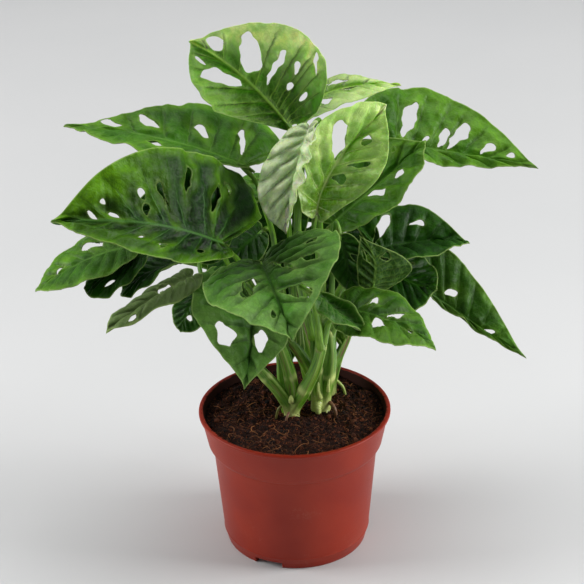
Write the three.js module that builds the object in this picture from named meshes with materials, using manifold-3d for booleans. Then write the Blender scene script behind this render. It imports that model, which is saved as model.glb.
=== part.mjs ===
// Monstera adansonii in a plastic nursery pot: pot, soil, canes with their petioles, and leaf blades.
// Millimetres, +Z up. The origin is the centre of the pot's foot, and -Y is the front.
import * as THREE from "three";
import { mergeVertices } from "three/addons/utils/BufferGeometryUtils.js";
import Module from "manifold-3d";

const wasm = await Module();
wasm.setup();

// ---- Driving dimensions -------------------------------------------------------------------------
const POT_HEIGHT = 91;
const RIM_RADIUS = 60; // a 12 cm trade pot
const BEAD_HEIGHT = 2.2; // the rolled bead round the rim
const BEAD_DEPTH = 1.4; // how far it stands out from the collar
const COLLAR_FOOT = 70; // height where the deep collar ends
const COLLAR_FOOT_RADIUS = 54.8;
const BODY_TOP = 66.5; // height where the body meets the collar's rounded shoulder
const BODY_TOP_RADIUS = 51.6;
const BAND_HEIGHT = 8.5; // foot band
const BAND_RADIUS = 46.4;
const FOOT_RADIUS = 44.4;
const FOOT_INNER_RADIUS = 41.6;
const WALL = 1.2;
const FLOOR_HEIGHT = 5; // underside of the pot's floor
const POT_SIDES = 48;
const NOTCHES = 3; // drainage notches in the foot band
const NOTCH_WIDTH = 18;
const NOTCH_HEIGHT = 4;
const NOTCH_DEPTH = 12; // from inside the foot to outside it
const NOTCH_BEARING = -24; // degrees from the front, seen from above, clockwise negative
const DRAINS = 6; // drainage holes in the floor
const DRAIN_RADIUS = 4;
const DRAIN_CIRCLE = 26;

const GAP = 0.3; // between pieces that touch
const SOIL_EDGE = 85; // height of the soil at the wall
const SOIL_MOUND = 2.2; // how much higher it is in the middle
const SOIL_RELIEF = 0.9; // height of its lumps
const SOIL_RINGS = [0.8, 0.6, 0.4, 0.2]; // of its top, as shares of its radius
const CANE_START = 42; // height where the canes start, down in the soil
const CANE_BEND = SOIL_EDGE + 5; // height where their upright feet end
const CANE_SLIMMING = 0.45; // share of its radius that a cane loses up to its end
const CANE_ROOM = 0.3; // extra radius of its hole in the soil

const BLADE = 1; // thickness of a leaf blade
const MARGIN_STEPS = 14; // steps along each half's margin
const HOLE_SIDES = 8;
const PETIOLE_TIP = 1.3; // radius of a petiole under its blade
const PETIOLE_SHEATH = 2.8; // radius of a petiole where its sheath leaves the cane
const PETIOLE_APPROACH = 8; // the last stretch runs this far behind the base of the blade,
const PETIOLE_DROP = 5; // and this far below it
const NODE_SPACING = 4.5; // between the petioles of one cane, along it
const NODE_OFFSET = 0.8; // how far off the cane's centre line they start
const PETIOLE_SIDES = 5;
const PETIOLE_STEPS = 6;
const CANE_SIDES = 8;

// ---- Materials ----------------------------------------------------------------------------------
const standard = (color, roughness) =>
  new THREE.MeshStandardMaterial({ color, roughness, metalness: 0 });
const terracotta = standard(0x9c4a3a, 0.45);
const peat = standard(0x2c1a12, 0.95);
const stemGreen = standard(0x6b9a3c, 0.45);
const leafGreen = standard(0x2f6b26, 0.4);
const youngGreen = standard(0x7fae3f, 0.4);

// ---- Helpers ------------------------------------------------------------------------------------
const vec = (a) => new THREE.Vector3(...a);
const radians = THREE.MathUtils.degToRad;

// A closed geometry as a solid that can be joined and cut.
function solid(geometry) {
  const g = geometry.clone();
  g.deleteAttribute("normal");
  g.deleteAttribute("uv");
  const merged = mergeVertices(g, 1e-4);
  return new wasm.Manifold(
    new wasm.Mesh({
      numProp: 3,
      vertProperties: merged.attributes.position.array,
      triVerts: new Uint32Array(merged.index.array),
    }),
  );
}

function geometryOf(made) {
  const m = made.getMesh();
  const g = new THREE.BufferGeometry();
  g.setAttribute("position", new THREE.BufferAttribute(m.vertProperties, 3));
  g.setIndex(new THREE.BufferAttribute(m.triVerts, 1));
  return g;
}

function indexed(points, faces) {
  const g = new THREE.BufferGeometry();
  g.setAttribute(
    "position",
    new THREE.Float32BufferAttribute(points.flatMap((p) => [p.x, p.y, p.z]), 3),
  );
  g.setIndex(faces.flat());
  return g;
}

// A profile of [radius, height] points turned round the Z axis.
function lathe(profile, sides) {
  const points = profile.map(([r, z]) => new THREE.Vector2(r, z));
  return new THREE.LatheGeometry(points, sides).rotateX(Math.PI / 2);
}

// A round tube along a curve, whose radius is a function of the share of the way along it.
function taperedTube(curve, radiusAt, sides, steps) {
  const frames = curve.computeFrenetFrames(steps, false);
  const points = [];
  const faces = [];
  for (let i = 0; i <= steps; i++) {
    const centre = curve.getPointAt(i / steps);
    for (let k = 0; k < sides; k++) {
      const a = (2 * Math.PI * k) / sides;
      const r = radiusAt(i / steps);
      points.push(
        centre
          .clone()
          .addScaledVector(frames.normals[i], r * Math.cos(a))
          .addScaledVector(frames.binormals[i], r * Math.sin(a)),
      );
    }
  }
  for (let i = 0; i < steps; i++) {
    for (let k = 0; k < sides; k++) {
      const a = i * sides + k;
      const b = i * sides + ((k + 1) % sides);
      faces.push([a, b, b + sides], [a, b + sides, a + sides]);
    }
  }
  const last = steps * sides;
  for (let k = 1; k < sides - 1; k++) {
    faces.push([0, k + 1, k], [last, last + k, last + k + 1]);
  }
  return indexed(points, faces);
}

// ---- Pot ----------------------------------------------------------------------------------------
// Inner radius of the pot's wall at a height, from the outer profile less the wall.
function innerRadius(z) {
  const slope = (BODY_TOP_RADIUS - BAND_RADIUS) / (BODY_TOP - BAND_HEIGHT);
  if (z < BODY_TOP) return BAND_RADIUS + slope * (z - BAND_HEIGHT) - WALL;
  const collarSlope =
    (RIM_RADIUS - BEAD_DEPTH - COLLAR_FOOT_RADIUS) / (POT_HEIGHT - COLLAR_FOOT);
  return COLLAR_FOOT_RADIUS + collarSlope * (z - COLLAR_FOOT) - WALL;
}

// The inside of the wall as [radius, height], from the floor up to the rim.
const INSIDE = [
  [innerRadius(BAND_HEIGHT) - 1, FLOOR_HEIGHT + WALL],
  [innerRadius(BAND_HEIGHT), BAND_HEIGHT],
  [BODY_TOP_RADIUS - WALL, BODY_TOP + 1.5],
  [innerRadius(COLLAR_FOOT), COLLAR_FOOT],
  [innerRadius(POT_HEIGHT), POT_HEIGHT],
];

function pot() {
  const collarTop = RIM_RADIUS - BEAD_DEPTH;
  const profile = [
    [0, FLOOR_HEIGHT],
    [FOOT_INNER_RADIUS, FLOOR_HEIGHT],
    [FOOT_INNER_RADIUS, 0],
    [FOOT_RADIUS, 0],
    [BAND_RADIUS, BAND_HEIGHT],
    [BODY_TOP_RADIUS, BODY_TOP],
    [COLLAR_FOOT_RADIUS - 1.2, COLLAR_FOOT - 2.2],
    [COLLAR_FOOT_RADIUS, COLLAR_FOOT],
    [collarTop, POT_HEIGHT - BEAD_HEIGHT],
    [RIM_RADIUS, POT_HEIGHT - BEAD_HEIGHT + 0.4],
    [RIM_RADIUS, POT_HEIGHT - 0.5],
    [RIM_RADIUS - 0.6, POT_HEIGHT],
    ...[...INSIDE].reverse(),
    [0, FLOOR_HEIGHT + WALL],
  ];
  let made = solid(lathe(profile, POT_SIDES));
  for (let i = 0; i < NOTCHES; i++) {
    const notch = new THREE.BoxGeometry(NOTCH_WIDTH, NOTCH_DEPTH, 2 * NOTCH_HEIGHT);
    notch.translate(0, -FOOT_RADIUS, 0);
    notch.rotateZ(radians(NOTCH_BEARING + (360 * i) / NOTCHES));
    made = made.subtract(solid(notch));
  }
  for (let i = 0; i < DRAINS; i++) {
    const drain = new THREE.CylinderGeometry(DRAIN_RADIUS, DRAIN_RADIUS, 2 * FLOOR_HEIGHT, 8);
    drain.rotateX(Math.PI / 2);
    drain.translate(DRAIN_CIRCLE, 0, FLOOR_HEIGHT);
    drain.rotateZ(radians((360 * i) / DRAINS));
    made = made.subtract(solid(drain));
  }
  return made;
}

// ---- Canes and petioles -------------------------------------------------------------------------
// Each cane is one cutting: its centre line from below the soil, thick at the foot and slimmer above.
// "foot" stands upright in the soil; "arms" are the shoots above it, by their points.
const canes = {
  cane_front: {
    foot: [-2, -5],
    radius: 4.6,
    arms: {
      left: [[-8, -6, 106], [-15, -7, 123], [-21, -8, 140]],
      middle: [[-1, -5, 106], [-4, -5, 123], [-9, -7, 142]],
      right: [[6, -8, 107], [13, -11, 124], [18, -14, 146]],
    },
  },
  cane_middle: {
    foot: [18, 4],
    radius: 6.3,
    arms: {
      up: [[17, 3, 108], [18, 2, 128], [19, 0, 150]],
      side: [[22, 3, 108], [24, 1, 126], [22, -1, 148]],
    },
  },
  cane_left: {
    foot: [15, 16],
    radius: 4.4,
    arms: { up: [[11, 13, 108], [3, 12, 124], [-7, 12, 138], [-20, 14, 158]] },
  },
  cane_back: {
    foot: [12, 27],
    radius: 4.4,
    arms: { up: [[13, 22, 108], [9, 20, 128], [4, 25, 149], [2, 30, 168]] },
  },
  cane_right: {
    foot: [24, 24],
    radius: 4.4,
    arms: { up: [[27, 27, 107], [34, 33, 126], [39, 40, 150]] },
  },
};

// ---- Leaf blades --------------------------------------------------------------------------------
// Half of a blade laid flat, as [foot of the side vein, along, out]: "along" and the foot are shares
// of the midrib's length, "out" is a share of the half's width. From the sinus at the base, round
// the basal lobe, to the drip tip.
const HALF_BLADE = [
  [0, 0, 0],
  [0.015, -0.05, 0.16],
  [0.03, -0.055, 0.4],
  [0.05, 0, 0.66],
  [0.085, 0.11, 0.87],
  [0.15, 0.24, 0.98],
  [0.24, 0.38, 1],
  [0.34, 0.52, 0.91],
  [0.45, 0.65, 0.73],
  [0.57, 0.77, 0.5],
  [0.7, 0.87, 0.27],
  [0.84, 0.945, 0.1],
  [1, 1, 0],
];
const WIDEST = 0.38; // where "out" is 1
const VEIN_BOW = 0.002; // how far side veins bow towards the tip, as a share of the midrib
const halfBlade = new THREE.CatmullRomCurve3(
  HALF_BLADE.map(vec),
  false,
  "catmullrom",
  0.5,
);
const LEFT = 1; // halves, seen from above the blade, looking from its base to its tip
const RIGHT = -1;

// The blades, by the cane (and its arm, where it isn't "up") that their petioles grow from. via are
// points on a petiole's way, and drop is how far below the blade it arrives. base, mid and tip lie
// on the midrib; left and right are the widest points of the two halves. Optional, each as [left,
// right]: shift moves a half's widest point towards the tip, lobe lengthens its basal lobe
// backwards, taper narrows it near the base, and bulge arches it upwards. wave is the ruffle of the
// margin: its height, how many, and its phase. holes are the openings: which half, then [side vein,
// share of the way from midrib to margin] of both ends, and the width.
const blades = {
  leaf_crown: {
    cane: "cane_back", base: [0, 34, 265], mid: [-27, 24, 301], tip: [-57, 14, 326],
    left: [9, 10, 328], right: [-45, 4, 287], shift: [-0.06, 0.13], lobe: [0.04, 0],
    taper: [0, 0.6], bulge: [4, 4], young: true,
    holes: [
      [LEFT, [0.87, 0.12], [0.87, 0.86], 9], [LEFT, [0.68, 0.16], [0.73, 0.84], 13],
      [LEFT, [0.57, 0.28], [0.56, 0.62], 6], [LEFT, [0.45, 0.28], [0.48, 0.6], 4],
      [LEFT, [0.33, 0.38], [0.33, 0.46], 4], [LEFT, [0.38, 0.72], [0.43, 0.92], 3],
      [RIGHT, [0.79, 0.45], [0.83, 0.75], 5], [RIGHT, [0.64, 0.2], [0.75, 0.66], 8],
    ],
  },
  leaf_crown_rear: {
    cane: "cane_back", base: [7, 55, 261], mid: [27, 62, 277], tip: [69, 66, 278],
    left: [17, 70, 285], right: [34, 46, 275], shift: [-0.25, 0], taper: [0, 0.5], young: true,
    holes: [
      [LEFT, [0.58, 0.5], [0.7, 0.5], 3], [RIGHT, [0.45, 0.24], [0.52, 0.5], 3],
      [RIGHT, [0.66, 0.15], [0.72, 0.36], 2],
    ],
  },
  leaf_right_high: {
    cane: "cane_right", base: [52, 62, 244], mid: [99, 66, 234], tip: [153, 50, 228],
    left: [89, 100, 262], right: [91, 55, 230], lobe: [0.04, 0], taper: [0, 0.3],
    wave: [1.2, 2.5, 0],
    holes: [
      [LEFT, [0.44, 0.14], [0.47, 0.74], 8], [LEFT, [0.58, 0.16], [0.62, 0.5], 6],
      [LEFT, [0.67, 0.18], [0.7, 0.76], 6], [LEFT, [0.79, 0.16], [0.8, 0.74], 5],
      [LEFT, [0.87, 0.4], [0.87, 0.76], 3],
    ],
  },
  leaf_centre_young: {
    cane: "cane_middle", base: [15, -10, 225], mid: [26, 0, 253], tip: [57, 12, 286],
    left: [18, -14, 285], right: [52, -10, 249], shift: [0.2, 0], taper: [0.35, 0.35],
    young: true,
    holes: [
      [LEFT, [0.68, 0.12], [0.61, 0.84], 8], [RIGHT, [0.72, 0.38], [0.75, 0.66], 6],
      [RIGHT, [0.6, 0.42], [0.6, 0.76], 4], [RIGHT, [0.52, 0.1], [0.51, 0.4], 5],
      [LEFT, [0.32, 0.86], [0.38, 0.82], 2.5], [RIGHT, [0.32, 0.46], [0.36, 0.54], 4],
    ],
  },
  leaf_centre_right: {
    cane: "cane_middle", base: [24, 25, 204], mid: [57, 30, 232], tip: [82, 30, 256],
    left: [34, 50, 243], right: [58, 5, 221], taper: [0, 0.35],
    holes: [
      [RIGHT, [0.73, 0.42], [0.74, 0.74], 4], [RIGHT, [0.58, 0.12], [0.59, 0.66], 6],
      [LEFT, [0.76, 0.62], [0.78, 0.74], 3],
    ],
  },
  leaf_right_middle: {
    cane: "cane_middle", arm: "side", base: [53, 24, 187], mid: [82, 32, 188],
    tip: [110, 24, 190], left: [75, 54, 205], right: [79, 4, 190], lobe: [0.1, 0], bulge: [1, 1],
    holes: [[LEFT, [0.22, 0.62], [0.4, 0.78], 7], [LEFT, [0.52, 0.42], [0.64, 0.52], 4]],
  },
  leaf_right_hanging: {
    cane: "cane_right", base: [84, 45, 168], mid: [112, 35, 137], tip: [146, 15, 114],
    left: [112, 60, 151], right: [96, 30, 143], lobe: [0.05, 0], taper: [0, 0.3],
    holes: [
      [LEFT, [0.4, 0.2], [0.44, 0.5], 7], [LEFT, [0.56, 0.12], [0.58, 0.4], 4],
      [RIGHT, [0.76, 0.6], [0.8, 0.45], 3],
    ],
  },
  leaf_right_upturned: {
    cane: "cane_middle", arm: "side", base: [47, -9, 176], mid: [49, -11, 196],
    tip: [40, -11, 213], left: [67, 1, 188], right: [39, -14, 197], drop: 2,
    holes: [[LEFT, [0.64, 0.44], [0.62, 0.78], 4]],
  },
  leaf_right_inner: {
    cane: "cane_middle", arm: "side", base: [53, 18, 181], mid: [71, 13, 171],
    tip: [88, 3, 169], left: [83, 33, 175], right: [67, -7, 160], shift: [0.1, 0],
    holes: [[LEFT, [0.56, 0.36], [0.52, 0.64], 3]],
  },
  leaf_right_low: {
    cane: "cane_front", arm: "right", base: [29, -30, 174], mid: [55, -55, 179],
    tip: [81, -75, 169], left: [61, -25, 180], right: [41, -80, 182], shift: [0.18, 0],
    holes: [
      [RIGHT, [0.58, 0.34], [0.64, 0.66], 7.5], [LEFT, [0.69, 0.12], [0.69, 0.56], 3.5],
      [RIGHT, [0.8, 0.24], [0.85, 0.3], 2.5],
    ],
  },
  leaf_front_curled: {
    cane: "cane_front", arm: "right", base: [15, -62, 202], mid: [28, -69, 198],
    tip: [36, -75, 183], left: [33, -63, 196], right: [18, -77, 195], bulge: [-1, -1], drop: 3,
    holes: [],
  },
  leaf_front_heart: {
    cane: "cane_front", arm: "middle", base: [-18, -25, 203], mid: [-9, -70, 202],
    tip: [-1, -95, 189], left: [28, -60, 233], right: [-48, -75, 204], bulge: [2, 2],
    holes: [
      [RIGHT, [0.53, 0.22], [0.64, 0.6], 8], [RIGHT, [0.81, 0.38], [0.81, 0.58], 3],
      [LEFT, [0.42, 0.16], [0.58, 0.34], 4], [LEFT, [0.5, 0.48], [0.48, 0.74], 8],
      [LEFT, [0.76, 0.2], [0.78, 0.78], 9],
    ],
  },
  leaf_front_low: {
    cane: "cane_front", arm: "left", base: [-25, -20, 176], mid: [-25, -50, 162],
    tip: [-29, -68, 142], left: [-2, -45, 167], right: [-60, -42, 185], shift: [-0.05, 0],
    bulge: [1.5, 1.5],
    holes: [[RIGHT, [0.66, 0.36], [0.62, 0.62], 9], [LEFT, [0.65, 0.22], [0.69, 0.6], 9]],
  },
  leaf_left_broad: {
    cane: "cane_front", arm: "left", via: [[-31, -16, 198]],
    base: [-40, -45, 225], mid: [-80, -80, 254], tip: [-130, -90, 260],
    left: [-68, -95, 238], right: [-63, -40, 281], shift: [0, -0.06], lobe: [0.12, 0.28],
    taper: [0.45, -0.2], wave: [1.2, 3, 1],
    holes: [
      [RIGHT, [0.79, 0.46], [0.79, 0.84], 7], [RIGHT, [0.7, 0.18], [0.67, 0.58], 9],
      [RIGHT, [0.58, 0.16], [0.57, 0.46], 8], [RIGHT, [0.36, 0.36], [0.37, 0.56], 6],
      [RIGHT, [0.46, 0.54], [0.45, 0.8], 7], [RIGHT, [0.87, 0.1], [0.87, 0.5], 3.5],
      [LEFT, [0.67, 0.4], [0.65, 0.66], 4], [LEFT, [0.55, 0.5], [0.55, 0.7], 3],
      [LEFT, [0.41, 0.38], [0.38, 0.56], 5],
    ],
  },
  leaf_left_low_outer: {
    cane: "cane_left", via: [[-44, 16, 196], [-70, 9, 208]], drop: 0,
    base: [-95, -5, 206], mid: [-122, -18, 203], tip: [-151, -30, 190],
    left: [-118, -30, 201], right: [-122, 8, 206], bulge: [1, 1],
    holes: [[RIGHT, [0.5, 0.46], [0.61, 0.62], 4], [RIGHT, [0.78, 0.3], [0.82, 0.5], 2]],
  },
  leaf_left_low_middle: {
    cane: "cane_left", via: [[-48, 10, 192]], drop: 1,
    base: [-87, -8, 203], mid: [-104, -18, 197], tip: [-123, -25, 188],
    left: [-108, -35, 189], right: [-111, 5, 196], shift: [0.15, 0], bulge: [1, 1],
    holes: [[LEFT, [0.56, 0.5], [0.64, 0.62], 3]],
  },
  leaf_left_low_inner: {
    cane: "cane_left", base: [-64, 4, 192], mid: [-85, -6, 189], tip: [-102, -16, 180],
    left: [-86, -24, 185], right: [-92, 14, 188], shift: [0.1, 0], bulge: [1, 1],
    holes: [],
  },
  leaf_left_rolled: {
    cane: "cane_left", via: [[-41, 13, 178], [-55, -4, 194]],
    base: [-59, -21, 198], mid: [-82, -44, 190], tip: [-109, -56, 176],
    left: [-72, -46, 189], right: [-80, -24, 190], bulge: [4, 4], taper: [0.4, 0.4],
    holes: [[LEFT, [0.78, 0.4], [0.84, 0.6], 2]],
  },
  leaf_left_small: {
    cane: "cane_left", base: [-57, 10, 169], mid: [-64, 5, 161], tip: [-70, 0, 148],
    left: [-54, 0, 154], right: [-73, 10, 161],
    holes: [[LEFT, [0.7, 0.3], [0.74, 0.6], 4]],
  },
  leaf_left_high: {
    cane: "cane_left", via: [[-11, 17, 200], [-16, 14, 221]],
    base: [-26, 0, 253], mid: [-73, 0, 271], tip: [-132, 0, 282],
    left: [-76, -20, 269], right: [-52, 40, 278], shift: [0, -0.14], lobe: [0, 0.16],
    taper: [0.6, 0], wave: [1.4, 3, 2],
    holes: [
      [RIGHT, [0.83, 0.26], [0.86, 0.8], 6], [RIGHT, [0.7, 0.3], [0.74, 0.64], 6],
      [RIGHT, [0.52, 0.22], [0.57, 0.52], 10], [RIGHT, [0.28, 0.28], [0.35, 0.82], 6],
      [LEFT, [0.62, 0.36], [0.58, 0.62], 5],
    ],
  },
  leaf_centre_crinkled: {
    cane: "cane_middle", base: [7, -5, 284], mid: [-2, -20, 259], tip: [-3, -30, 223],
    left: [9, -25, 273], right: [-17, -20, 263], wave: [2, 3, 0.5], young: true,
    holes: [],
  },
  leaf_right_shaded: {
    cane: "cane_right", base: [46, 42, 195], mid: [40, 34, 174], tip: [32, 14, 158],
    left: [53, 30, 176], right: [27, 28, 181],
    holes: [],
  },
  leaf_left_shaded: {
    cane: "cane_left", base: [-18, 15, 205], mid: [-33, 1, 198], tip: [-53, -17, 186],
    left: [-26, -3, 187], right: [-41, 19, 203],
    holes: [],
  },
  leaf_back_high_left: {
    cane: "cane_back", base: [-22, 36, 228], mid: [-42, 66, 229], tip: [-62, 100, 200],
    left: [-64, 50, 222], right: [-14, 76, 222], bulge: [2, 2], wave: [1.2, 2.5, 1],
    holes: [
      [LEFT, [0.42, 0.22], [0.46, 0.66], 7], [LEFT, [0.6, 0.22], [0.63, 0.64], 6],
      [RIGHT, [0.38, 0.24], [0.42, 0.62], 6], [RIGHT, [0.56, 0.2], [0.6, 0.66], 7],
    ],
  },
  leaf_back_high: {
    cane: "cane_back", base: [-12, 46, 218], mid: [-12, 78, 216], tip: [-18, 104, 188],
    left: [-39, 72, 210], right: [15, 74, 208], bulge: [2, 2], wave: [1.2, 3, 2],
    holes: [
      [LEFT, [0.4, 0.24], [0.44, 0.64], 6], [LEFT, [0.6, 0.2], [0.63, 0.6], 7],
      [RIGHT, [0.46, 0.24], [0.5, 0.68], 8], [RIGHT, [0.66, 0.22], [0.69, 0.62], 5],
    ],
  },
  leaf_back_high_right: {
    cane: "cane_right", base: [40, 58, 214], mid: [58, 82, 207], tip: [78, 103, 178],
    left: [30, 92, 201], right: [76, 70, 194], drop: 10, bulge: [2, 2], wave: [1.2, 2.5, 0],
    holes: [
      [LEFT, [0.44, 0.22], [0.48, 0.66], 7], [LEFT, [0.64, 0.24], [0.67, 0.6], 5],
      [RIGHT, [0.4, 0.22], [0.44, 0.66], 6], [RIGHT, [0.58, 0.2], [0.62, 0.64], 7],
    ],
  },
  leaf_back_left: {
    cane: "cane_left", base: [-34, 34, 192], mid: [-60, 60, 188], tip: [-86, 84, 162],
    left: [-68, 34, 180], right: [-36, 74, 180], bulge: [2, 2], wave: [1, 2.5, 3],
    holes: [
      [LEFT, [0.46, 0.24], [0.5, 0.64], 6], [RIGHT, [0.42, 0.22], [0.46, 0.62], 6],
      [RIGHT, [0.62, 0.22], [0.65, 0.6], 5],
    ],
  },
  leaf_back_middle: {
    cane: "cane_back", base: [-6, 42, 180], mid: [-12, 76, 176], tip: [-16, 102, 146],
    left: [-36, 64, 165], right: [16, 70, 167], bulge: [2, 2], wave: [1, 3, 1],
    holes: [
      [LEFT, [0.42, 0.22], [0.46, 0.64], 6], [LEFT, [0.62, 0.22], [0.65, 0.6], 5],
      [RIGHT, [0.5, 0.22], [0.54, 0.66], 7],
    ],
  },
  leaf_back_right: {
    cane: "cane_right", base: [38, 58, 166], mid: [56, 80, 159], tip: [72, 99, 130],
    left: [32, 84, 151], right: [74, 62, 149], bulge: [2, 2], wave: [1, 2.5, 2],
    holes: [
      [LEFT, [0.46, 0.22], [0.5, 0.66], 6], [RIGHT, [0.44, 0.22], [0.48, 0.62], 6],
      [RIGHT, [0.64, 0.22], [0.67, 0.6], 4],
    ],
  },
  leaf_back_low_left: {
    cane: "cane_back", base: [-12, 40, 144], mid: [-26, 66, 138], tip: [-38, 88, 112],
    left: [-42, 52, 128], right: [-4, 70, 128], bulge: [1.5, 1.5],
    holes: [[LEFT, [0.5, 0.24], [0.54, 0.62], 5], [RIGHT, [0.48, 0.24], [0.52, 0.62], 5]],
  },
  leaf_back_low_right: {
    cane: "cane_right", base: [20, 50, 132], mid: [32, 74, 124], tip: [44, 94, 100],
    left: [10, 72, 114], right: [48, 60, 114], bulge: [1.5, 1.5],
    holes: [[LEFT, [0.5, 0.24], [0.54, 0.62], 5], [RIGHT, [0.48, 0.24], [0.52, 0.62], 5]],
  },
};

// The surface of one blade: place(x, y) is the point at x along the midrib, as a share of its
// length, and y millimetres out from it (left is positive).
function bladeSurface(spec) {
  const [base, mid, tip] = [spec.base, spec.mid, spec.tip].map(vec);
  const bend = mid.clone().multiplyScalar(2).sub(base.clone().add(tip).multiplyScalar(0.5));
  const midrib = new THREE.QuadraticBezierCurve3(base, bend, tip);
  const length = midrib.getLength();
  const pair = (values) => ({ [LEFT]: values[0], [RIGHT]: values[1] });
  const shift = pair(spec.shift ?? [0, 0]);
  const lobe = pair(spec.lobe ?? [0, 0]);
  const taper = pair(spec.taper ?? [0, 0]);
  const bulge = pair(spec.bulge ?? [0, 0]);
  const [waveHeight, waves, phase] = spec.wave ?? [0.8, 2.5, 0];

  // Along-share of the margin after shift and lobe, where "out" is how far out it lies.
  function along(side, x, out) {
    const inside = THREE.MathUtils.clamp(x, 0, 1);
    const moved = x + 4 * shift[side] * inside * (1 - inside);
    return moved - lobe[side] * (1 - inside) ** 3 * Math.min(1, out / 0.4);
  }
  const axis = (x) =>
    x >= 0
      ? midrib.getPointAt(Math.min(x, 1))
      : base.clone().addScaledVector(midrib.getTangentAt(0), x * length);
  const tangent = (x) => midrib.getTangentAt(THREE.MathUtils.clamp(x, 0, 1));
  const reach = {
    [LEFT]: vec(spec.left).sub(axis(along(LEFT, WIDEST, 1))),
    [RIGHT]: vec(spec.right).sub(axis(along(RIGHT, WIDEST, 1))),
  };
  const width = { [LEFT]: reach[LEFT].length(), [RIGHT]: reach[RIGHT].length() };
  const outward = (side) => reach[side].clone().normalize();

  // The point of the flat half where the side vein q stands, at the share v of its way out.
  function flat(side, q, v) {
    const m = halfBlade.getPoint(q);
    const near = Math.min(1.2, Math.max(0, 1 - m.y / WIDEST));
    const out = Math.max(0, m.z) * (1 - taper[side] * near ** 1.5) * width[side];
    const foot = Math.min(1, Math.max(0, m.x));
    const x = foot * (1 - v) + along(side, m.y, m.z) * v + VEIN_BOW * 4 * v * (1 - v);
    return new THREE.Vector2(x, side * out * v);
  }
  function place(side, x, y) {
    const out = outward(side);
    const up = tangent(x).cross(out).multiplyScalar(side).normalize();
    const u = Math.abs(y) / width[side];
    const turn = 2 * Math.PI * waves * x + phase + (side === LEFT ? 0 : 1.7);
    const lift = 4 * bulge[side] * u * (1 - u) + waveHeight * u * u * Math.sin(turn);
    return axis(x).addScaledVector(out, Math.abs(y)).addScaledVector(up, lift);
  }
  // Upward normal by small steps along the surface; on the midrib the two halves share one.
  function normal(x, y) {
    if (y === 0) return normal(x, 1e-3).add(normal(x, -1e-3)).normalize();
    const side = Math.sign(y);
    const dx = 0.01;
    const dy = 0.3 * side;
    const at = place(side, x, y);
    const ahead = place(side, x + dx, y).sub(at);
    const across = place(side, x, y + dy).sub(at);
    return ahead.cross(across).multiplyScalar(side).normalize();
  }
  return { length, flat, place, normal, tangent, outward, base };
}

// The ring of a hole, laid flat: a lens between its two ends, in millimetres.
function holeRing(surface, [side, from, to, across]) {
  const scale = new THREE.Vector2(surface.length, 1);
  const a = surface.flat(side, ...from).multiply(scale);
  const b = surface.flat(side, ...to).multiply(scale);
  const centre = a.clone().add(b).multiplyScalar(0.5);
  const half = b.clone().sub(a).multiplyScalar(0.5);
  const sideways = new THREE.Vector2(-half.y, half.x).normalize().multiplyScalar(across / 2);
  return Array.from({ length: HOLE_SIDES }, (_, i) => {
    const t = (2 * Math.PI * i) / HOLE_SIDES;
    return centre
      .clone()
      .addScaledVector(half, Math.cos(t))
      .addScaledVector(sideways, Math.sin(t));
  });
}

const VEIN_GRID = 0.04; // side veins are tried this far apart along the half,
const VEIN_SPACING = 0.14; // kept at least this far apart,
const VEIN_CLEARANCE = 1.2; // and this many millimetres from the holes

// Side veins that pass between a half's holes, clear of all of them: they divide it into bays.
function bayVeins(surface, side, rings) {
  const veins = [0];
  for (let q = 0.12; q < 0.93; q += VEIN_GRID) {
    if (q - veins[veins.length - 1] < VEIN_SPACING) continue;
    const foot = surface.flat(side, q, 0);
    const end = surface.flat(side, q, 1);
    foot.x *= surface.length;
    end.x *= surface.length;
    const dir = end.clone().sub(foot).normalize();
    const clear = rings.every((ring) => {
      const off = ring.map((p) => dir.cross(p.clone().sub(foot)));
      return Math.min(...off) > VEIN_CLEARANCE || Math.max(...off) < -VEIN_CLEARANCE;
    });
    if (clear) veins.push(q);
  }
  veins.push(1);
  return veins;
}

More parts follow.
